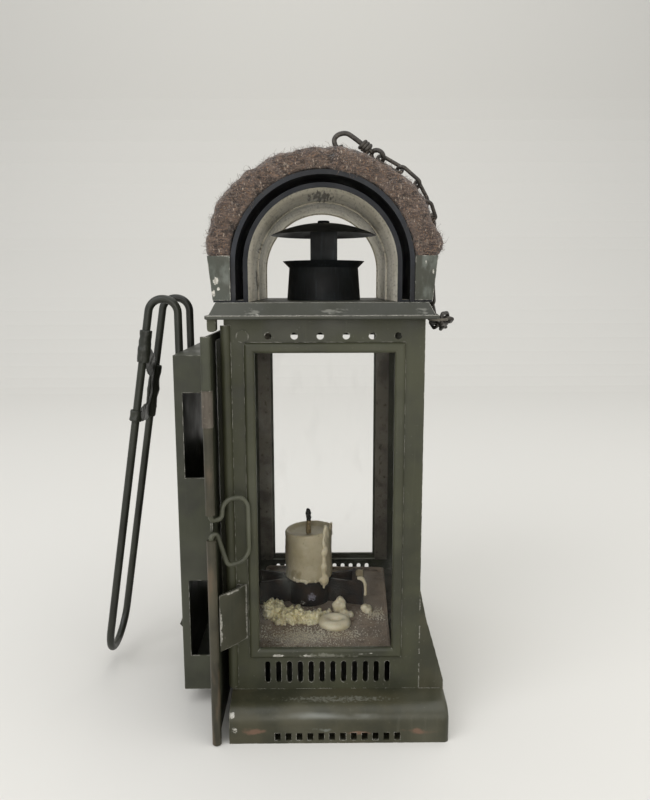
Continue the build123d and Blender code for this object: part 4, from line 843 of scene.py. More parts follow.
@dataclass
class TinBody:
    """The box of the lantern: panels, base, lid, rails and panes."""

    shop: Workshop

    def build(self) -> None:
        """Dresses the sheet-metal nodes and the panes."""
        self.shop.dress(Finish.SHELL, "front_panel", "back_panel", "right_wall", "left_frame", "roof_plate",
                        "lid_lug", "hinge_leaf")
        self.shop.dress(Finish.BASE, "base_skirt", "base_floor")
        self.shop.dress(Finish.LID, "lid")
        self.shop.dress(Finish.LUG, "door_stop_lug")
        self.shop.dress(Finish.TIN, "glass_keepers", "tray_rails", "chain_tab")
        self.shop.dress(Finish.GLASS, "front_glass", "back_glass")
        self.shop.dress(Finish.CHAIN, "hinge_pin")


@dataclass
class Chimney:
    """Neck, strap, cap and rivet."""

    shop: Workshop

    def build(self) -> None:
        """Dresses the chimney in its black."""
        self.shop.dress(Finish.BLACK, "flue_neck", "chimney_cap", "cap_strap", "cap_rivet")


@dataclass
class Hood:
    """The two vaults, the felt over them and the clamps that hold it.

    Attributes:
        shop: hands out the finishes.
        centre: x and z of the vaults' axis.
        voxel: the felt's face size.
        smoothing: rounds that smooth its skin.
        lumps: the size and height of its lumps.
        gripped: height of its ends that the clamps press flat.
        release: height over which it comes free above them.
        swell: how much fuller it is than its solid, at every swell_step degrees from the right to the left.
        swell_step: those degrees.
        facing: how squarely a face looks outwards that swells.
        chain_gap: what stays free between the felt and the chain.
        bulges: side, height and depth of its bulge over each clamp's front end.
        bulge_start: y from which they rise.
        bulge_fade: length over which they rise.
        bulge_inside: distance from the axis at which they begin.
        bulge_reach: their half height, and the distance over which they begin.
        hairs: how many loose hairs are tried.
        hair_width: how wide they are.
        hair_lengths: the shortest and the longest.
        hair_rises: how steeply they stand.
        hair_curl: how far they turn sideways.
        hair_droop: how far they bend back along their way, and down to the felt.
        hair_root: how deep they are rooted.
        hair_slope: how far down an underside they still grow.
        hair_seed: starts the hairs' random draws.
        hair_joints: straight stretches in each.
        hair_gap: what stays free between a hair and the chain.
        chain: the chain's vertices, in metres.
    """

    shop: Workshop
    centre: tuple[float, float] = (-0.7, 195.4)
    voxel: float = 0.95
    smoothing: int = 6
    lumps: Pairs = ((15, 1.0), (6, 0.8), (2.3, 0.6))
    gripped: float = 17.0
    release: float = 4.0
    swell: tuple[float, ...] = (0.0, 0.3, 1.6, 2.5, 2.3, 1.7, 1.4, 1.5, 1.9, 2.2, 1.6, 0.4, 0.0)
    swell_step: float = 15.0
    facing: float = 0.2
    chain_gap: float = 0.7
    bulges: tuple[Point, ...] = ((1.0, 205.0, 2.1), (-1.0, 205.0, 0.9))
    bulge_start: float = -42.0
    bulge_fade: float = 6.0
    bulge_inside: float = 36.0
    bulge_reach: float = 8.0
    hairs: int = 24000
    hair_width: float = 0.1
    hair_lengths: tuple[float, float] = (1.2, 4.4)
    hair_rises: tuple[float, ...] = (0.08, 0.15, 0.25, 0.45)
    hair_curl: float = 1.6
    hair_droop: tuple[float, float] = (0.35, 0.25)
    hair_root: float = 0.1
    hair_slope: float = -0.3
    hair_seed: int = 11
    hair_joints: int = 4
    hair_gap: float = 0.5
    chain: KDTree = field(init=False)

    def __post_init__(self) -> None:
        """Notes where the chain lies, so that the felt and its hair keep clear of it."""
        places = [vertex.co for name in ("chain_lower_run", "chain_upper_run", "chain_hook")
                  for vertex in node_copy(name).vertices]
        self.chain = KDTree(len(places))
        for index, place in enumerate(places):
            self.chain.insert(place, index)
        self.chain.balance()

    def build(self) -> None:
        """Dresses the vaults and clamps, and makes the felt with its loose hair."""
        self.shop.dress(Finish.LINING, "hood_inner_arch")
        self.shop.dress(Finish.VAULT, "hood_outer_arch")
        self.shop.dress(Finish.CLAMPS, "felt_clamp_left", "felt_clamp_right")
        self.shop.dress(Finish.TIN, "clamp_rivets")
        self.fuzz(self.felt())

    def outward(self, place: Vector) -> Vector:
        """Returns the way out of the vault at a place."""
        return Vector((place.x - self.centre[0] * MM, 0, max(place.z - self.centre[1] * MM, 0))).normalized()

    def fullness(self, place: Vector, outward: Vector) -> float:
        """Reads how much fuller the felt is than its solid, short of the chain.

        Args:
            place: where.
            outward: the way out of the vault there.

        Returns:
            Millimetres.
        """
        step = degrees(atan2(outward.z, outward.x)) / self.swell_step
        index = min(len(self.swell) - 2, int(step))
        part = step - index
        grown = self.swell[index] * (1 - part) + self.swell[index + 1] * part
        return max(0.0, min(grown, self.chain.find(place)[2] / MM - self.chain_gap))

    def felt(self) -> bpy.types.Object:
        """Makes the pad: the solid's skin in small quads, lumpy, and swollen over the clamps' front ends.

        Returns:
            The padded piece.
        """
        skin = fused(node_copy("felt_pad"), self.voxel, self.smoothing)
        low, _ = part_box("felt_pad")

        def share(place: Vector) -> float:
            """Leaves the ends inside the clamps as they are."""
            return min(1.0, max(0.0, (place.z - low.z - self.gripped * MM) / (self.release * MM)))

        roughened(skin, self.lumps, 3.0, share)
        normals = [vertex.normal.copy() for vertex in skin.vertices]
        for vertex, normal in zip(skin.vertices, normals):
            outward = self.outward(vertex.co)
            if normal.dot(outward) > self.facing:
                vertex.co += outward * self.fullness(vertex.co, outward) * MM * share(vertex.co)
            front = min(1.0, max(0.0, (self.bulge_start * MM - vertex.co.y) / (self.bulge_fade * MM)))
            away = abs(vertex.co.x - self.centre[0] * MM) - self.bulge_inside * MM
            for side, height, depth in self.bulges:
                rise = (vertex.co.z - height * MM) / (self.bulge_reach * MM)
                if side * vertex.co.x > 0 and abs(rise) < 1 and away > 0:
                    begun = min(1, away / (self.bulge_reach * MM))
                    vertex.co += outward * depth * MM * front * (1 - rise ** 2) ** 2 * begun
        felt = adopt(skin, "felt_cover", self.shop.coat(Finish.FELT), "lantern_body",
                     ["felt_pad"])
        return felt

    def fuzz(self, felt: bpy.types.Object) -> None:
        """Grows short loose hairs on the felt, none of them into the chain.

        Args:
            felt: the pad that they grow on.
        """
        rng = Random(self.hair_seed)
        low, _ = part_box("felt_pad")
        free = low.z + (self.gripped + 1) * MM
        polygons = [p for p in felt.data.polygons
                    if p.center.z > free and p.normal.dot(self.outward(p.center)) > self.hair_slope]
        roots = rng.choices(polygons, [p.area for p in polygons], k=self.hairs)
        solid = bmesh.new()
        number = solid.verts.layers.int.new("hair")
        hairs: list[tuple[Vector, Vector]] = []
        edges = []
        for polygon in roots:
            ends = [felt.data.vertices[i].co for i in polygon.vertices]
            weights = [rng.random() + 0.05 for _ in ends]
            start = sum((end * w for end, w in zip(ends, weights)), Vector()) / sum(weights)
            side = Vector((rng.gauss(0, 1), rng.gauss(0, 1), rng.gauss(0, 1)))
            side = (side - polygon.normal * side.dot(polygon.normal)).normalized()
            length = rng.uniform(*self.hair_lengths) * MM
            rise = rng.choice(self.hair_rises)
            step = (side + polygon.normal * rise).normalized() * length / self.hair_joints
            turn = side.cross(polygon.normal) * rng.uniform(-self.hair_curl, self.hair_curl)
            back, down = self.hair_droop
            curl = (turn - side * back - polygon.normal * down) * length / self.hair_joints ** 2
            ahead = [start + step * s + curl * s * (s - 1) / 2
                     for s in (self.hair_joints // 2, self.hair_joints)]
            if min(self.chain.find(place)[2] for place in ahead) < self.hair_gap * MM:
                continue
            across = step.cross(polygon.normal).normalized() * self.hair_width * MM / 2
            sunk = polygon.normal * self.hair_root * MM
            pair = [solid.verts.new(start + across * sign - sunk) for sign in (-1, 1)]
            for vertex in pair:
                vertex[number] = len(hairs)
            hairs.append((step, curl))
            edges.append(solid.edges.new(pair))
        for stage in range(self.hair_joints):
            grown = bmesh.ops.extrude_edge_only(solid, edges=edges)["geom"]
            edges = [g for g in grown if isinstance(g, bmesh.types.BMEdge)]
            for vertex in (g for g in grown if isinstance(g, bmesh.types.BMVert)):
                step, curl = hairs[vertex[number]]
                vertex.co += step + curl * stage
        adopt(poured(solid, "hair"), "felt_hair", self.shop.coat(Finish.HAIR), "lantern_body")


@dataclass
class CandleSet:
    """Candle, wick, holder, tray and the wax that has run.

    Attributes:
        shop: hands out the finishes.
        centre: x and y of the candle's axis.
        radius: the stub's.
        spigot: radius of its foot inside the holder's cup.
        foot: height of its underside.
        cup_top: height of the cup's rim, above which the stub has its full radius.
        top: height of the stub's rim.
        shoulder: the stub's lower edge, out from its radius and up from the cup.
        rim: its upper edge, from the side over into the melted dish, out from its radius and up from its top.
        dish: the dish's floor, as radius and height from the top.
        facets: steps of the lathe.
        stub_voxel: the stub's face size.
        stub_lumps: the size and height of its lumps.
        softened: depth below the rim that heat has bent.
        tilt: how much higher the rim is on the right than in the middle.
        wall: share of the radius outside which the rim has its peaks.
        peaks: turn and half width in degrees, and height, of each broken peak of the rim.
        runs: turn in degrees, low and high end, and thickness of each run of wax.
        bead: length of a run between two of its points.
        sway: how far it wanders sideways, in degrees.
        thread: the thickness below which it is an uneven thread and no drop.
        drip_seed: starts the runs' random draws.
        crust: how many drops lie on the cup's rim.
        crust_turns: where round the stub they lie, in degrees.
        curl: the run over the holder's arm.
        curl_radius: its radius.
        curl_swell: how thick it is at each point.
        drip_voxel: the runs' face size.
        neck: x, y and height from the stub's top, and thickness, along the bare wick.
        neck_radius: its radius.
        head: x, y and height from the stub's top, and thickness, along the burnt wick.
        head_radius: its radius.
        floor: height of the tray's upper side.
        lumps: x, y, radius and height of each heap of crumbled wax.
        lump_balls: balls in each heap.
        lump_scatter: how far they lie from its middle, and how high, as a share of its radius and height.
        stones: x, y, radius and height of each smooth piece.
        stone_balls: balls in each of them.
        stone_scatter: how far they lie from its middle, as a share of its radius.
        ring: x, y and radius of the wax ring.
        ring_ball: half sizes of the balls that it is made of.
        ring_balls: how many they are.
        ring_squash: how much narrower it is from front to back.
        ring_rise: height of their middles over the tray.
        filling: half sizes of the wax inside it.
        filling_rise: height of that wax's middle over the tray.
        spill_voxel: face size of all of these.
        spill_seed: starts their random draws.
        heaps: x, y, spread in x and y, and number of batches of each scatter of crumbs.
        batch: crumbs in a batch.
        crumb_sizes: their half sizes.
        crumb_seed: starts their random draws.
        tray: lowest and highest x, lowest and highest y at which a crumb may lie.
    """

    shop: Workshop
    centre: tuple[float, float] = (-8.0, 7.7)
    radius: float = 11.9
    spigot: float = 9.3
    foot: float = 30.3
    cup_top: float = 41.9
    top: float = 66.4
    shoulder: Pairs = ((-0.3, 0.0), (0.0, 0.6))
    rim: Pairs = ((0.0, -0.7), (-0.5, 0.0), (-1.2, -0.1), (-3.2, -2.0))
    dish: Pairs = ((2.4, -2.6), (0.0, -2.5))
    facets: int = 72
    stub_voxel: float = 0.42
    stub_lumps: Pairs = ((9, 0.35), (2.4, 0.12))
    softened: float = 8.0
    tilt: float = 0.9
    wall: float = 0.72
    peaks: tuple[Point, ...] = ((-36, 12, 3.0), (-12, 10, 1.9), (20, 22, 0.8))
    runs: tuple[Row, ...] = (
        (-48, 38.0, 69.2, 1.3), (-46, 54.0, 60.4, 2.2), (-49, 45.5, 52.8, 2.2), (-47, 39.5, 45.4, 2.9),
        (-43, 62.0, 70.4, 1.0), (-36, 64.0, 69.4, 0.8), (8, 62.0, 68.6, 0.8))
    bead: float = 2.6
    sway: float = 2.5
    thread: float = 1.3
    drip_seed: int = 12
    crust: int = 30
    crust_turns: tuple[float, float] = (-128, -56)
    curl: tuple[Point, ...] = (
        (16.4, -0.6, 43.0), (18.2, -1.2, 43.4), (19.9, -1.9, 42.2), (20.5, -2.1, 39.4), (20.3, -2.1, 34.6))
    curl_radius: float = 0.95
    curl_swell: tuple[float, ...] = (0.8, 1.2, 1.0, 0.85, 0.75)
    drip_voxel: float = 0.3
    neck: tuple[Row, ...] = (
        (0.0, 0.0, -6.0, 1.3), (0.0, 0.0, -1.0, 1.2), (0.1, 0.0, 3.6, 1.0), (0.1, 0.0, 5.2, 1.0))
    neck_radius: float = 1.1
    head: tuple[Row, ...] = (
        (0.1, 0.0, 4.2, 0.95), (0.2, 0.0, 6.0, 1.05), (0.0, 0.2, 8.0, 1.1), (-0.3, 0.0, 9.7, 0.8),
        (-0.2, 0.0, 10.3, 0.5))
    head_radius: float = 1.25
    floor: float = 29.0
    lumps: tuple[Row, ...] = (
        (-24.4, -12.1, 7.2, 7.0), (-15.5, -15.4, 6.8, 6.2), (-7.0, -17.3, 5.6, 4.2), (-20.0, -18.5, 5.0, 3.6),
        (-1.0, -14.5, 3.6, 3.2))
    lump_balls: int = 14
    lump_scatter: float = 0.6
    stones: tuple[Row, ...] = (
        (6.9, -6.4, 4.2, 7.4), (11.2, -12.1, 5.4, 2.8), (20.8, -8.3, 3.6, 4.0), (1.6, -11.0, 2.2, 3.4))
    stone_balls: int = 5
    stone_scatter: float = 0.35
    ring: Point = (4.6, -22.1, 4.8)
    ring_ball: Point = (2.9, 2.9, 2.3)
    ring_balls: int = 30
    ring_squash: float = 0.9
    ring_rise: float = 1.5
    filling: Point = (4.6, 4.4, 1.4)
    filling_rise: float = 0.6
    spill_voxel: float = 0.4
    spill_seed: int = 5
    heaps: tuple[tuple[float, float, float, float, int], ...] = (
        (-10, -32, 14, 5, 15), (25, -12, 3.6, 3.4, 5), (4, -31, 10, 3, 5), (-14, -9, 9, 3, 3))
    batch: int = 90
    crumb_sizes: tuple[float, ...] = (0.12, 0.16, 0.22, 0.34)
    crumb_seed: int = 21
    tray: Row = (-32, 29, -47, 20)

    def build(self) -> None:
        """Makes the wax pieces and dresses the holder and the tray."""
        self.shop.dress(Finish.IRON, "candle_holder")
        self.shop.dress(Finish.TRAY, "tray")
        self.candle()
        self.drips()
        self.wick()
        self.spill()
        self.crumbs()

    def add_wax(self, mesh: bpy.types.Mesh, name: str, finish: Finish, nodes: Sequence[str] = (),
                smooth: bool = True) -> None:
        """Makes a mesh a piece of wax on the lantern's body, in place of the nodes named."""
        adopt(mesh, name, self.shop.coat(finish), "lantern_body", nodes, smooth)

    def candle(self) -> None:
        """Turns the stub on its axis, then tilts its rim up to the right and raises broken peaks there."""
        solid = bmesh.new()
        profile = [(0.0, self.foot), (self.spigot, self.foot), (self.spigot, self.cup_top),
                   *((self.radius + out, self.cup_top + up) for out, up in self.shoulder),
                   *((self.radius + out, self.top + up) for out, up in self.rim),
                   *((reach, self.top + up) for reach, up in self.dish)]
        x, y = self.centre
        corners = [solid.verts.new(((x + reach) * MM, y * MM, z * MM)) for reach, z in profile]
        edges = [solid.edges.new(pair) for pair in zip(corners, corners[1:])]
        bmesh.ops.spin(solid, geom=corners + edges, cent=(x * MM, y * MM, 0), axis=(0, 0, 1), angle=2 * pi,
                       steps=self.facets, use_merge=True)
        skin = fused(welded(poured(solid, "stub"), LATHE_WELD, turned_out=True), self.stub_voxel, 1)
        middle = Vector((*self.centre, 0)) * MM
        for vertex in skin.vertices:
            off = vertex.co - middle
            reach = Vector((off.x, off.y)).length / (self.radius * MM)
            turn = degrees(atan2(off.y, off.x))
            high = min(1.0, max(0.0, (vertex.co.z / MM - self.top + self.softened) / self.softened)) ** 2
            peak = sum(rise * max(0.0, 1 - abs(turn - at) / wide) for at, wide, rise in self.peaks)
            outside = max(0.0, reach - self.wall) / (1 - self.wall)
            vertex.co.z += high * (off.x / (self.radius * MM) * self.tilt + outside * peak) * MM

        def share(place: Vector) -> float:
            """Leaves the foot inside the cup as it is."""
            return min(1.0, max(0.0, place.z / MM - self.cup_top - 0.5))

        self.add_wax(roughened(skin, self.stub_lumps, 5.0, share), "candle_stub", Finish.CANDLE, ["candle"])

    def drips(self) -> None:
        """Runs beads of fresh wax down the stub, a crust round its foot and a curl over the holder's arm."""
        rng = Random(self.drip_seed)
        x, y = self.centre
        pieces = []
        for angle, low, high, thick in self.runs:
            count = max(4, int((high - low) / self.bead))
            points, swell = [], []
            for index in range(count + 1):
                turn, share = radians(angle + rng.uniform(-self.sway, self.sway)), index / count
                reach = self.radius - 0.3 * thick + rng.uniform(0, 0.2)
                points.append((x + reach * cos(turn), y + reach * sin(turn), high + (low - high) * share))
                swell.append(rng.uniform(0.6, 0.95) if thick < self.thread else 0.45 + 0.55 * sin(pi * share))
            pieces.append(wire(points, thick, swell, rings=6))
        solid = bmesh.new()
        for _ in range(self.crust):
            turn = radians(rng.uniform(*self.crust_turns))
            reach = self.radius - 0.6 + rng.uniform(0, 0.7)
            size = rng.uniform(0.4, 0.9)
            place = (x + reach * cos(turn), y + reach * sin(turn), self.cup_top + rng.uniform(0.1, 1.7))
            self.ball(solid, place, (size, size, size * rng.uniform(0.7, 1.6)))
        curl = wire(self.curl, self.curl_radius, self.curl_swell, rings=8)
        skin = fused(joined([*pieces, poured(solid, "crust"), curl]), self.drip_voxel)
        self.add_wax(roughened(skin, [(1.8, 0.25)], 2.0), "wax_runs", Finish.DRIP)

    def strand(self, places: Sequence[Row], radius: float) -> bpy.types.Mesh:
        """Draws a stretch of wick.

        Args:
            places: x, y and height from the stub's top, and thickness, at each point.
            radius: its radius in millimetres.

        Returns:
            Its mesh.
        """
        x, y = self.centre
        points = [(x + right, y + back, self.top + up) for right, back, up, _ in places]
        return wire(points, radius, [thickness for *_, thickness in places], rings=8)

    def wick(self) -> None:
        """Bends the wick and thickens its burnt head."""
        neck = self.strand(self.neck, self.neck_radius)
        adopt(neck, "wick_neck", self.shop.coat(Finish.CORD), "lantern_body")
        head = roughened(self.strand(self.head, self.head_radius), [(1.2, 0.35)], 2.0)
        adopt(head, "wick_head", self.shop.coat(Finish.CHAR), "lantern_body", ["wick"])

    def ball(self, solid: bmesh.types.BMesh, place: Point, radii: Point, turn: float = 0.0) -> None:
        """Adds one squashed ball to a mesh.

        Args:
            solid: the mesh.
            place: the ball's middle, in millimetres.
            radii: its half sizes, in millimetres.
            turn: how far it is turned about Z.
        """
        matrix = (Matrix.Translation(Vector(place) * MM) @ Matrix.Rotation(turn, 4, "Z")
                  @ Matrix.Diagonal((*(r * MM for r in radii), 1.0)))
        bmesh.ops.create_icosphere(solid, subdivisions=3, radius=1.0, matrix=matrix)

    def spill(self) -> None:
        """Piles crumbly heaps of wax on the tray, and lays stones and a ring beside them."""
        rng = Random(self.spill_seed)
        heaps, stones, smooth = bmesh.new(), bmesh.new(), bmesh.new()
        for x, y, radius, height in self.lumps:
            for _ in range(self.lump_balls):
                off = [rng.uniform(-self.lump_scatter, self.lump_scatter) * radius for _ in range(2)]
                size = radius * rng.uniform(0.22, 0.5)
                place = (x + off[0], y + off[1], self.floor + rng.uniform(0.0, self.lump_scatter) * height)
                radii = (size, size * rng.uniform(0.7, 1), height * rng.uniform(0.25, 0.5))
                self.ball(heaps, place, radii, rng.uniform(0, pi))
        for x, y, radius, height in self.stones:
            for _ in range(self.stone_balls):
                off = [rng.uniform(-self.stone_scatter, self.stone_scatter) * radius for _ in range(2)]
                place = (x + off[0], y + off[1], self.floor + height * rng.uniform(0.1, 0.45))
                self.ball(stones, place, (radius * 0.6, radius * 0.5, height * 0.55), rng.uniform(0, pi))
        x, y, reach = self.ring
        for index in range(self.ring_balls):
            turn = 2 * pi * index / self.ring_balls
            self.ball(smooth, (x + reach * cos(turn), y + reach * self.ring_squash * sin(turn),
                               self.floor + self.ring_rise), self.ring_ball)
        self.ball(smooth, (x, y, self.floor + self.filling_rise), self.filling)
        for solid, name, finish, bumps, nodes in (
                (heaps, "crumbled_wax", Finish.SPILL, ((2.6, 1.6), (1.2, 1.2), (0.7, 0.8)), ["wax_spill"]),
                (stones, "wax_stones", Finish.RING, ((3.0, 0.9), (1.2, 0.4)), []),
                (smooth, "wax_ring", Finish.RING, ((5.0, 0.4),), [])):
            self.add_wax(self.settled_wax(poured(solid, name), bumps), name, finish, nodes)

    def settled_wax(self, balls: bpy.types.Mesh, bumps: Pairs) -> bpy.types.Mesh:
        """Melts balls of wax together, roughens them and cuts them flat where they lie on the tray.

        Args:
            balls: the balls in one mesh.
            bumps: the size and height of the roughness.

        Returns:
            One closed skin.
        """
        skin = roughened(fused(balls, self.spill_voxel, 1), bumps, 8.0)
        cut = bmesh.new()
        cut.from_mesh(skin)
        bmesh.ops.bisect_plane(cut, geom=cut.verts[:] + cut.edges[:] + cut.faces[:], dist=FINE_WELD * MM,
                               plane_co=(0, 0, self.floor * MM), plane_no=(0, 0, -1), clear_outer=True)
        bmesh.ops.holes_fill(cut, edges=[e for e in cut.edges if e.is_boundary])
        cut.to_mesh(skin)
        cut.free()
        return skin

    def crumbs(self) -> None:
        """Scatters wax crumbs over the tray."""
        rng = Random(self.crumb_seed)
        left, right, near, far = self.tray
        batches = []
        for middle_x, middle_y, wide, deep in (heap[:4] for heap in self.heaps for _ in range(heap[4])):
            solid = bmesh.new()
            for _ in range(self.batch):
                x, y = rng.gauss(middle_x, wide), rng.gauss(middle_y, deep)
                if not (left < x < right and near < y < far):
                    continue
                size = rng.choice(self.crumb_sizes)
                matrix = (Matrix.Translation(Vector((x, y, self.floor + size * 0.5)) * MM)
                          @ Matrix.Rotation(rng.uniform(0, pi), 4, Vector((rng.random(), rng.random(), 1)))
                          @ Matrix.Diagonal((size * MM, size * rng.uniform(0.6, 1) * MM, size * 0.6 * MM, 1)))
                bmesh.ops.create_icosphere(solid, subdivisions=1, radius=1.0, matrix=matrix)
            batches.append(poured(solid, "crumbs"))
        self.add_wax(joined(batches), "wax_crumbs", Finish.CRUMBS, smooth=False)


@dataclass
class SideDoor:
    """Door plate, its rolled edge, hinge, latch and the box with the belt slots."""

    shop: Workshop

    def build(self) -> None:
        """Dresses the door's nodes and the latch."""
        self.shop.dress(Finish.DOOR, "door_plate", "hook_box", "hook_strap", "door_knuckles")
        self.shop.dress(Finish.ROLL, "door_edge_roll")
        self.shop.dress(Finish.SLEEVE, "edge_sleeve", "box_rivets")
        self.shop.dress(Finish.LATCH, "latch_wire")


@dataclass
class BeltHook:
    """The bent wire and the sheet brace wrapped round its legs.

    Attributes:
        shop: hands out the finishes.
        voxel: the brace's face size.
        creases: the size and height of its dents.
    """

    shop: Workshop
    voxel: float = 0.5
    creases: Pairs = ((7, 0.7), (2.5, 0.3))

    def build(self) -> None:
        """Dresses the wire, and crumples the brace as hand-folded sheet is."""
        self.shop.dress(Finish.HOOK, "belt_hook_wire")
        skin = roughened(fused(node_copy("hook_brace"), self.voxel, 1), self.creases, 4.0)
        adopt(skin, "folded_brace", self.shop.coat(Finish.HOOK), "belt_hook", ["hook_brace"])


@dataclass
class Chain:
    """Wire links and the small hook with its wound knot.

    Attributes:
        shop: hands out the finishes.
        eye: the middle of the hook's eye.
        eye_radius: its radius.
        eye_ease: how much wider the control points lie, because the line cuts inside them.
        eye_turns: where the points lie round it, in degrees.
        eye_normal: the way it faces.
        shank: the way from the eye towards the crook.
        shank_gap: how far outside the eye the shank begins.
        wire_radius: the hook's wire.
        eye_wire: how much thinner the eye's wire is.
        crook: the hook's bend, from its tip.
        tip: how thick the tip is.
        knot: x of the knot's middle.
        bends: the points between the knot and the eye, along the shank from the knot.
        turns: how often the tail is wound round.
        knot_half: half the knot's length.
        coil_radius: from the shank's middle to the tail's.
        tail_radius: the tail's own radius.
    """

    shop: Workshop
    eye: Point = (20.79, -47.7, 237.1)
    eye_radius: float = 2.5
    eye_ease: float = 1.06
    eye_turns: range = range(20, 341, 32)
    eye_normal: Point = (-0.4295, -0.703, -0.5669)
    shank: Point = (-0.7971, 0.0, 0.6039)
    shank_gap: float = 0.6
    wire_radius: float = 0.95
    eye_wire: float = 0.95
    crook: tuple[Point, ...] = (
        (7.3, -47.7, 241.1), (5.6, -47.7, 239.9), (4.4, -47.7, 240.9), (3.7, -47.7, 243.3),
        (5.2, -47.7, 245.2), (8.2, -47.7, 245.9), (10.4, -47.7, 245.0))
    tip: float = 0.7
    knot: float = 16.2
    bends: tuple[float, float] = (-2.0, -3.6)
    turns: float = 3.2
    knot_half: float = 1.9
    coil_radius: float = 1.72
    tail_radius: float = 0.72

    def build(self) -> None:
        """Dresses the links and bends the hook."""
        self.shop.dress(Finish.CHAIN, "chain_lower_run", "chain_upper_run")
        self.hook()

    def hook(self) -> None:
        """Bends one wire: crook, shank, eye, and the tail wound round the shank."""
        normal, shank = Vector(self.eye_normal).normalized(), Vector(self.shank).normalized()
        across = normal.cross(shank)
        eye = Vector(self.eye)
        ring = [tuple(eye + (shank * cos(a) + across * sin(a)) * self.eye_radius * self.eye_ease)
                for a in (radians(d) for d in self.eye_turns)]
        knot = Vector((self.knot, self.eye[1], self.eye[2] + (self.eye[0] - self.knot) * shank.z / -shank.x))
        line = [*self.crook, *(tuple(knot + shank * along) for along in self.bends),
                tuple(eye + shank * (self.eye_radius + self.shank_gap))]
        side = across.normalized()
        other = shank.cross(side)
        coil = []
        for index in range(int(self.turns * 8) + 1):
            angle = index * pi / 4
            along = self.knot_half - index * 2 * self.knot_half / (self.turns * 8)
            round_it = side * cos(angle) + other * sin(angle)
            coil.append(tuple(knot + shank * along + round_it * self.coil_radius))
        body = wire(line, self.wire_radius, [self.tip] + [1.0] * (len(line) - 1), rings=8, sides=4)
        loop = wire(ring, self.wire_radius * self.eye_wire, rings=6, sides=4)
        wound = wire(coil, self.tail_radius, rings=4)
        adopt(joined([body, loop, wound]), "wound_hook", self.shop.coat(Finish.CHAIN), "chain_end",
              ["chain_hook"])


@dataclass(frozen=True)
class Lamp:
    """One soft square lamp.

    Attributes:
        name: its name.
        place: where it hangs, in millimetres.
        target: where it points, in millimetres.
        size: its side in metres.
        watts: its power.
        colour: its sRGB hex colour.
    """

    name: str
    place: Point
    target: Point
    size: float
    watts: float
    colour: str


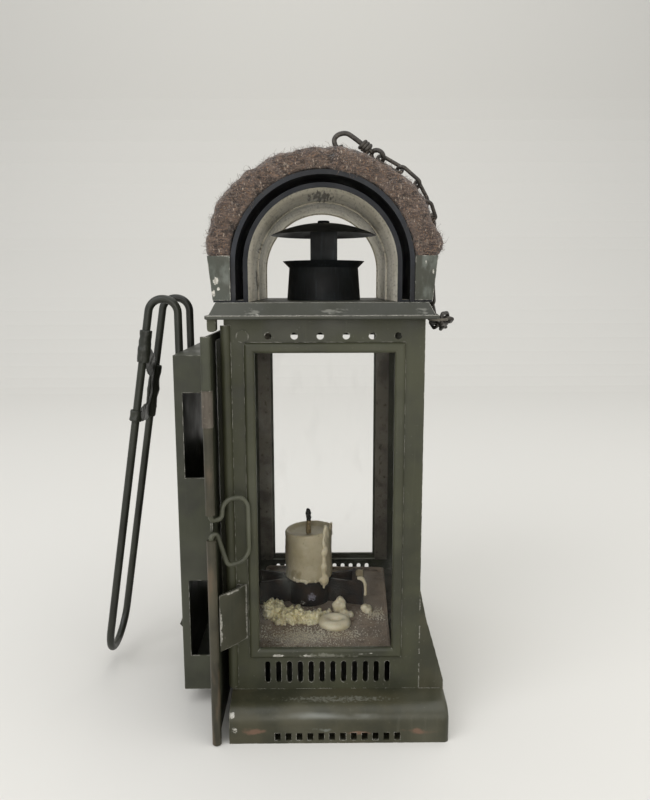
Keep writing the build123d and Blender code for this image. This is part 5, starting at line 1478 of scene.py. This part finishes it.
@dataclass
class Studio:
    """Camera, lamps, world and a pale sweep of floor.

    Attributes:
        eye: where the camera stands, in millimetres.
        pitch: how far it looks down, in degrees.
        yaw: how far it is turned about Z, in degrees.
        roll: how far it leans, in degrees.
        focal_px: its focal length in pixels of the photograph.
        long_side_px: the photograph's longer side.
        sensor: the sensor's longer side in millimetres.
        floor_colour: the floor's sRGB hex colour.
        profile: y and z of the sweep's corners, in metres.
        width: its width in metres.
        bend: how far its corners are rounded, in metres.
        world_colour: the sRGB hex colour of the light from all round.
        world_strength: how strong that is.
        lamps: the lamps.
    """

    eye: Point = (-2.2, -332.0, 187.0)
    pitch: float = 9.19
    yaw: float = -0.46
    roll: float = -0.15
    focal_px: float = 700.0
    long_side_px: float = 800.0
    sensor: float = 36.0
    floor_colour: str = "#d3d1cb"
    profile: Pairs = ((-2.5, 0.0), (1.2, 0.0), (1.9, 0.45), (2.0, 2.6))
    width: float = 6.0
    bend: float = 0.3
    world_colour: str = "#e9ebee"
    world_strength: float = 0.78
    lamps: tuple[Lamp, ...] = (
        Lamp("window", (-900, -900, 1100), (0, 0, 100), 1.1, 11.0, "#fbfbff"),
        Lamp("wall_wash", (0, 1250, 2300), (0, 2000, 400), 1.4, 10.0, "#fffdf8"),
        Lamp("front", (-60, -1150, 300), (0, 0, 60), 0.6, 3.0, "#fffaf2"),
        Lamp("ceiling", (300, -300, 1300), (0, 0, 100), 1.3, 7.0, "#ffffff"),
        Lamp("fill", (1100, -700, 500), (0, 0, 110), 0.9, 2.5, "#fff8ee"))

    def camera(self) -> None:
        """Puts the camera where the photograph was taken from."""
        data = bpy.data.cameras.new("camera")
        data.sensor_width = self.sensor
        data.lens = self.sensor * self.focal_px / self.long_side_px
        data.clip_start, data.clip_end = 0.01, 20.0
        camera = bpy.data.objects.new("camera", data)
        bpy.context.scene.collection.objects.link(camera)
        camera.matrix_world = (Matrix.Translation(Vector(self.eye) * MM)
                               @ Matrix.Rotation(radians(self.yaw), 4, "Z")
                               @ Matrix.Rotation(radians(90 - self.pitch), 4, "X")
                               @ Matrix.Rotation(radians(self.roll), 4, "Z"))
        bpy.context.scene.camera = camera

    def hang(self, lamp: Lamp) -> None:
        """Hangs one soft lamp.

        Args:
            lamp: the lamp.
        """
        data = bpy.data.lights.new(lamp.name, "AREA")
        data.size, data.energy, data.color = lamp.size, lamp.watts, linear(lamp.colour)[:3]
        light = bpy.data.objects.new(lamp.name, data)
        bpy.context.scene.collection.objects.link(light)
        aim = (Vector(lamp.target) - Vector(lamp.place)).to_track_quat("-Z", "Y").to_matrix().to_4x4()
        light.matrix_world = Matrix.Translation(Vector(lamp.place) * MM) @ aim

    def sweep(self) -> None:
        """Lays the floor and bends it up into a backdrop far behind."""
        solid = bmesh.new()
        corners = [solid.verts.new((-self.width / 2, y, z)) for y, z in self.profile]
        edges = [solid.edges.new(pair) for pair in zip(corners, corners[1:])]
        grown = bmesh.ops.extrude_edge_only(solid, edges=edges)["geom"]
        bmesh.ops.translate(solid, verts=[g for g in grown if isinstance(g, bmesh.types.BMVert)],
                            vec=(self.width, 0, 0))
        near, far = self.profile[0][0], self.profile[-1][0]
        inner = [e for e in solid.edges if all(near < v.co.y < far for v in e.verts)]
        bmesh.ops.bevel(solid, geom=inner, offset=self.bend, offset_type="OFFSET", segments=8, profile=0.5,
                        affect="EDGES", material=-1)
        mesh = poured(solid, "sweep")
        mesh.materials.append(Coat("pale_sweep").finish(Base_Color=linear(self.floor_colour), Roughness=0.9))
        floor = bpy.data.objects.new("sweep", mesh)
        bpy.context.scene.collection.objects.link(floor)

    def build(self) -> None:
        """Sets the view, the world, the lamps and the floor."""
        scene = bpy.context.scene
        scene.view_settings.view_transform = "Standard"
        world = bpy.data.worlds.new("soft_room")
        world.use_nodes = True
        light = world.node_tree.nodes["Background"].inputs
        light["Color"].default_value = linear(self.world_colour)
        light["Strength"].default_value = self.world_strength
        scene.world = world
        self.camera()
        self.sweep()
        for lamp in self.lamps:
            self.hang(lamp)


def main() -> None:
    """Builds the studio and the lantern's parts in order."""
    logging.basicConfig(level=logging.INFO, format="%(relativeCreated)7.0f %(name)s %(message)s")
    shop = Workshop()
    Studio().build()
    for part in (TinBody(shop), Chimney(shop), Hood(shop), CandleSet(shop), SideDoor(shop), BeltHook(shop),
                 Chain(shop)):
        part.build()
        log.info("%s is done", type(part).__name__)


if __name__ == "__main__":
    main()
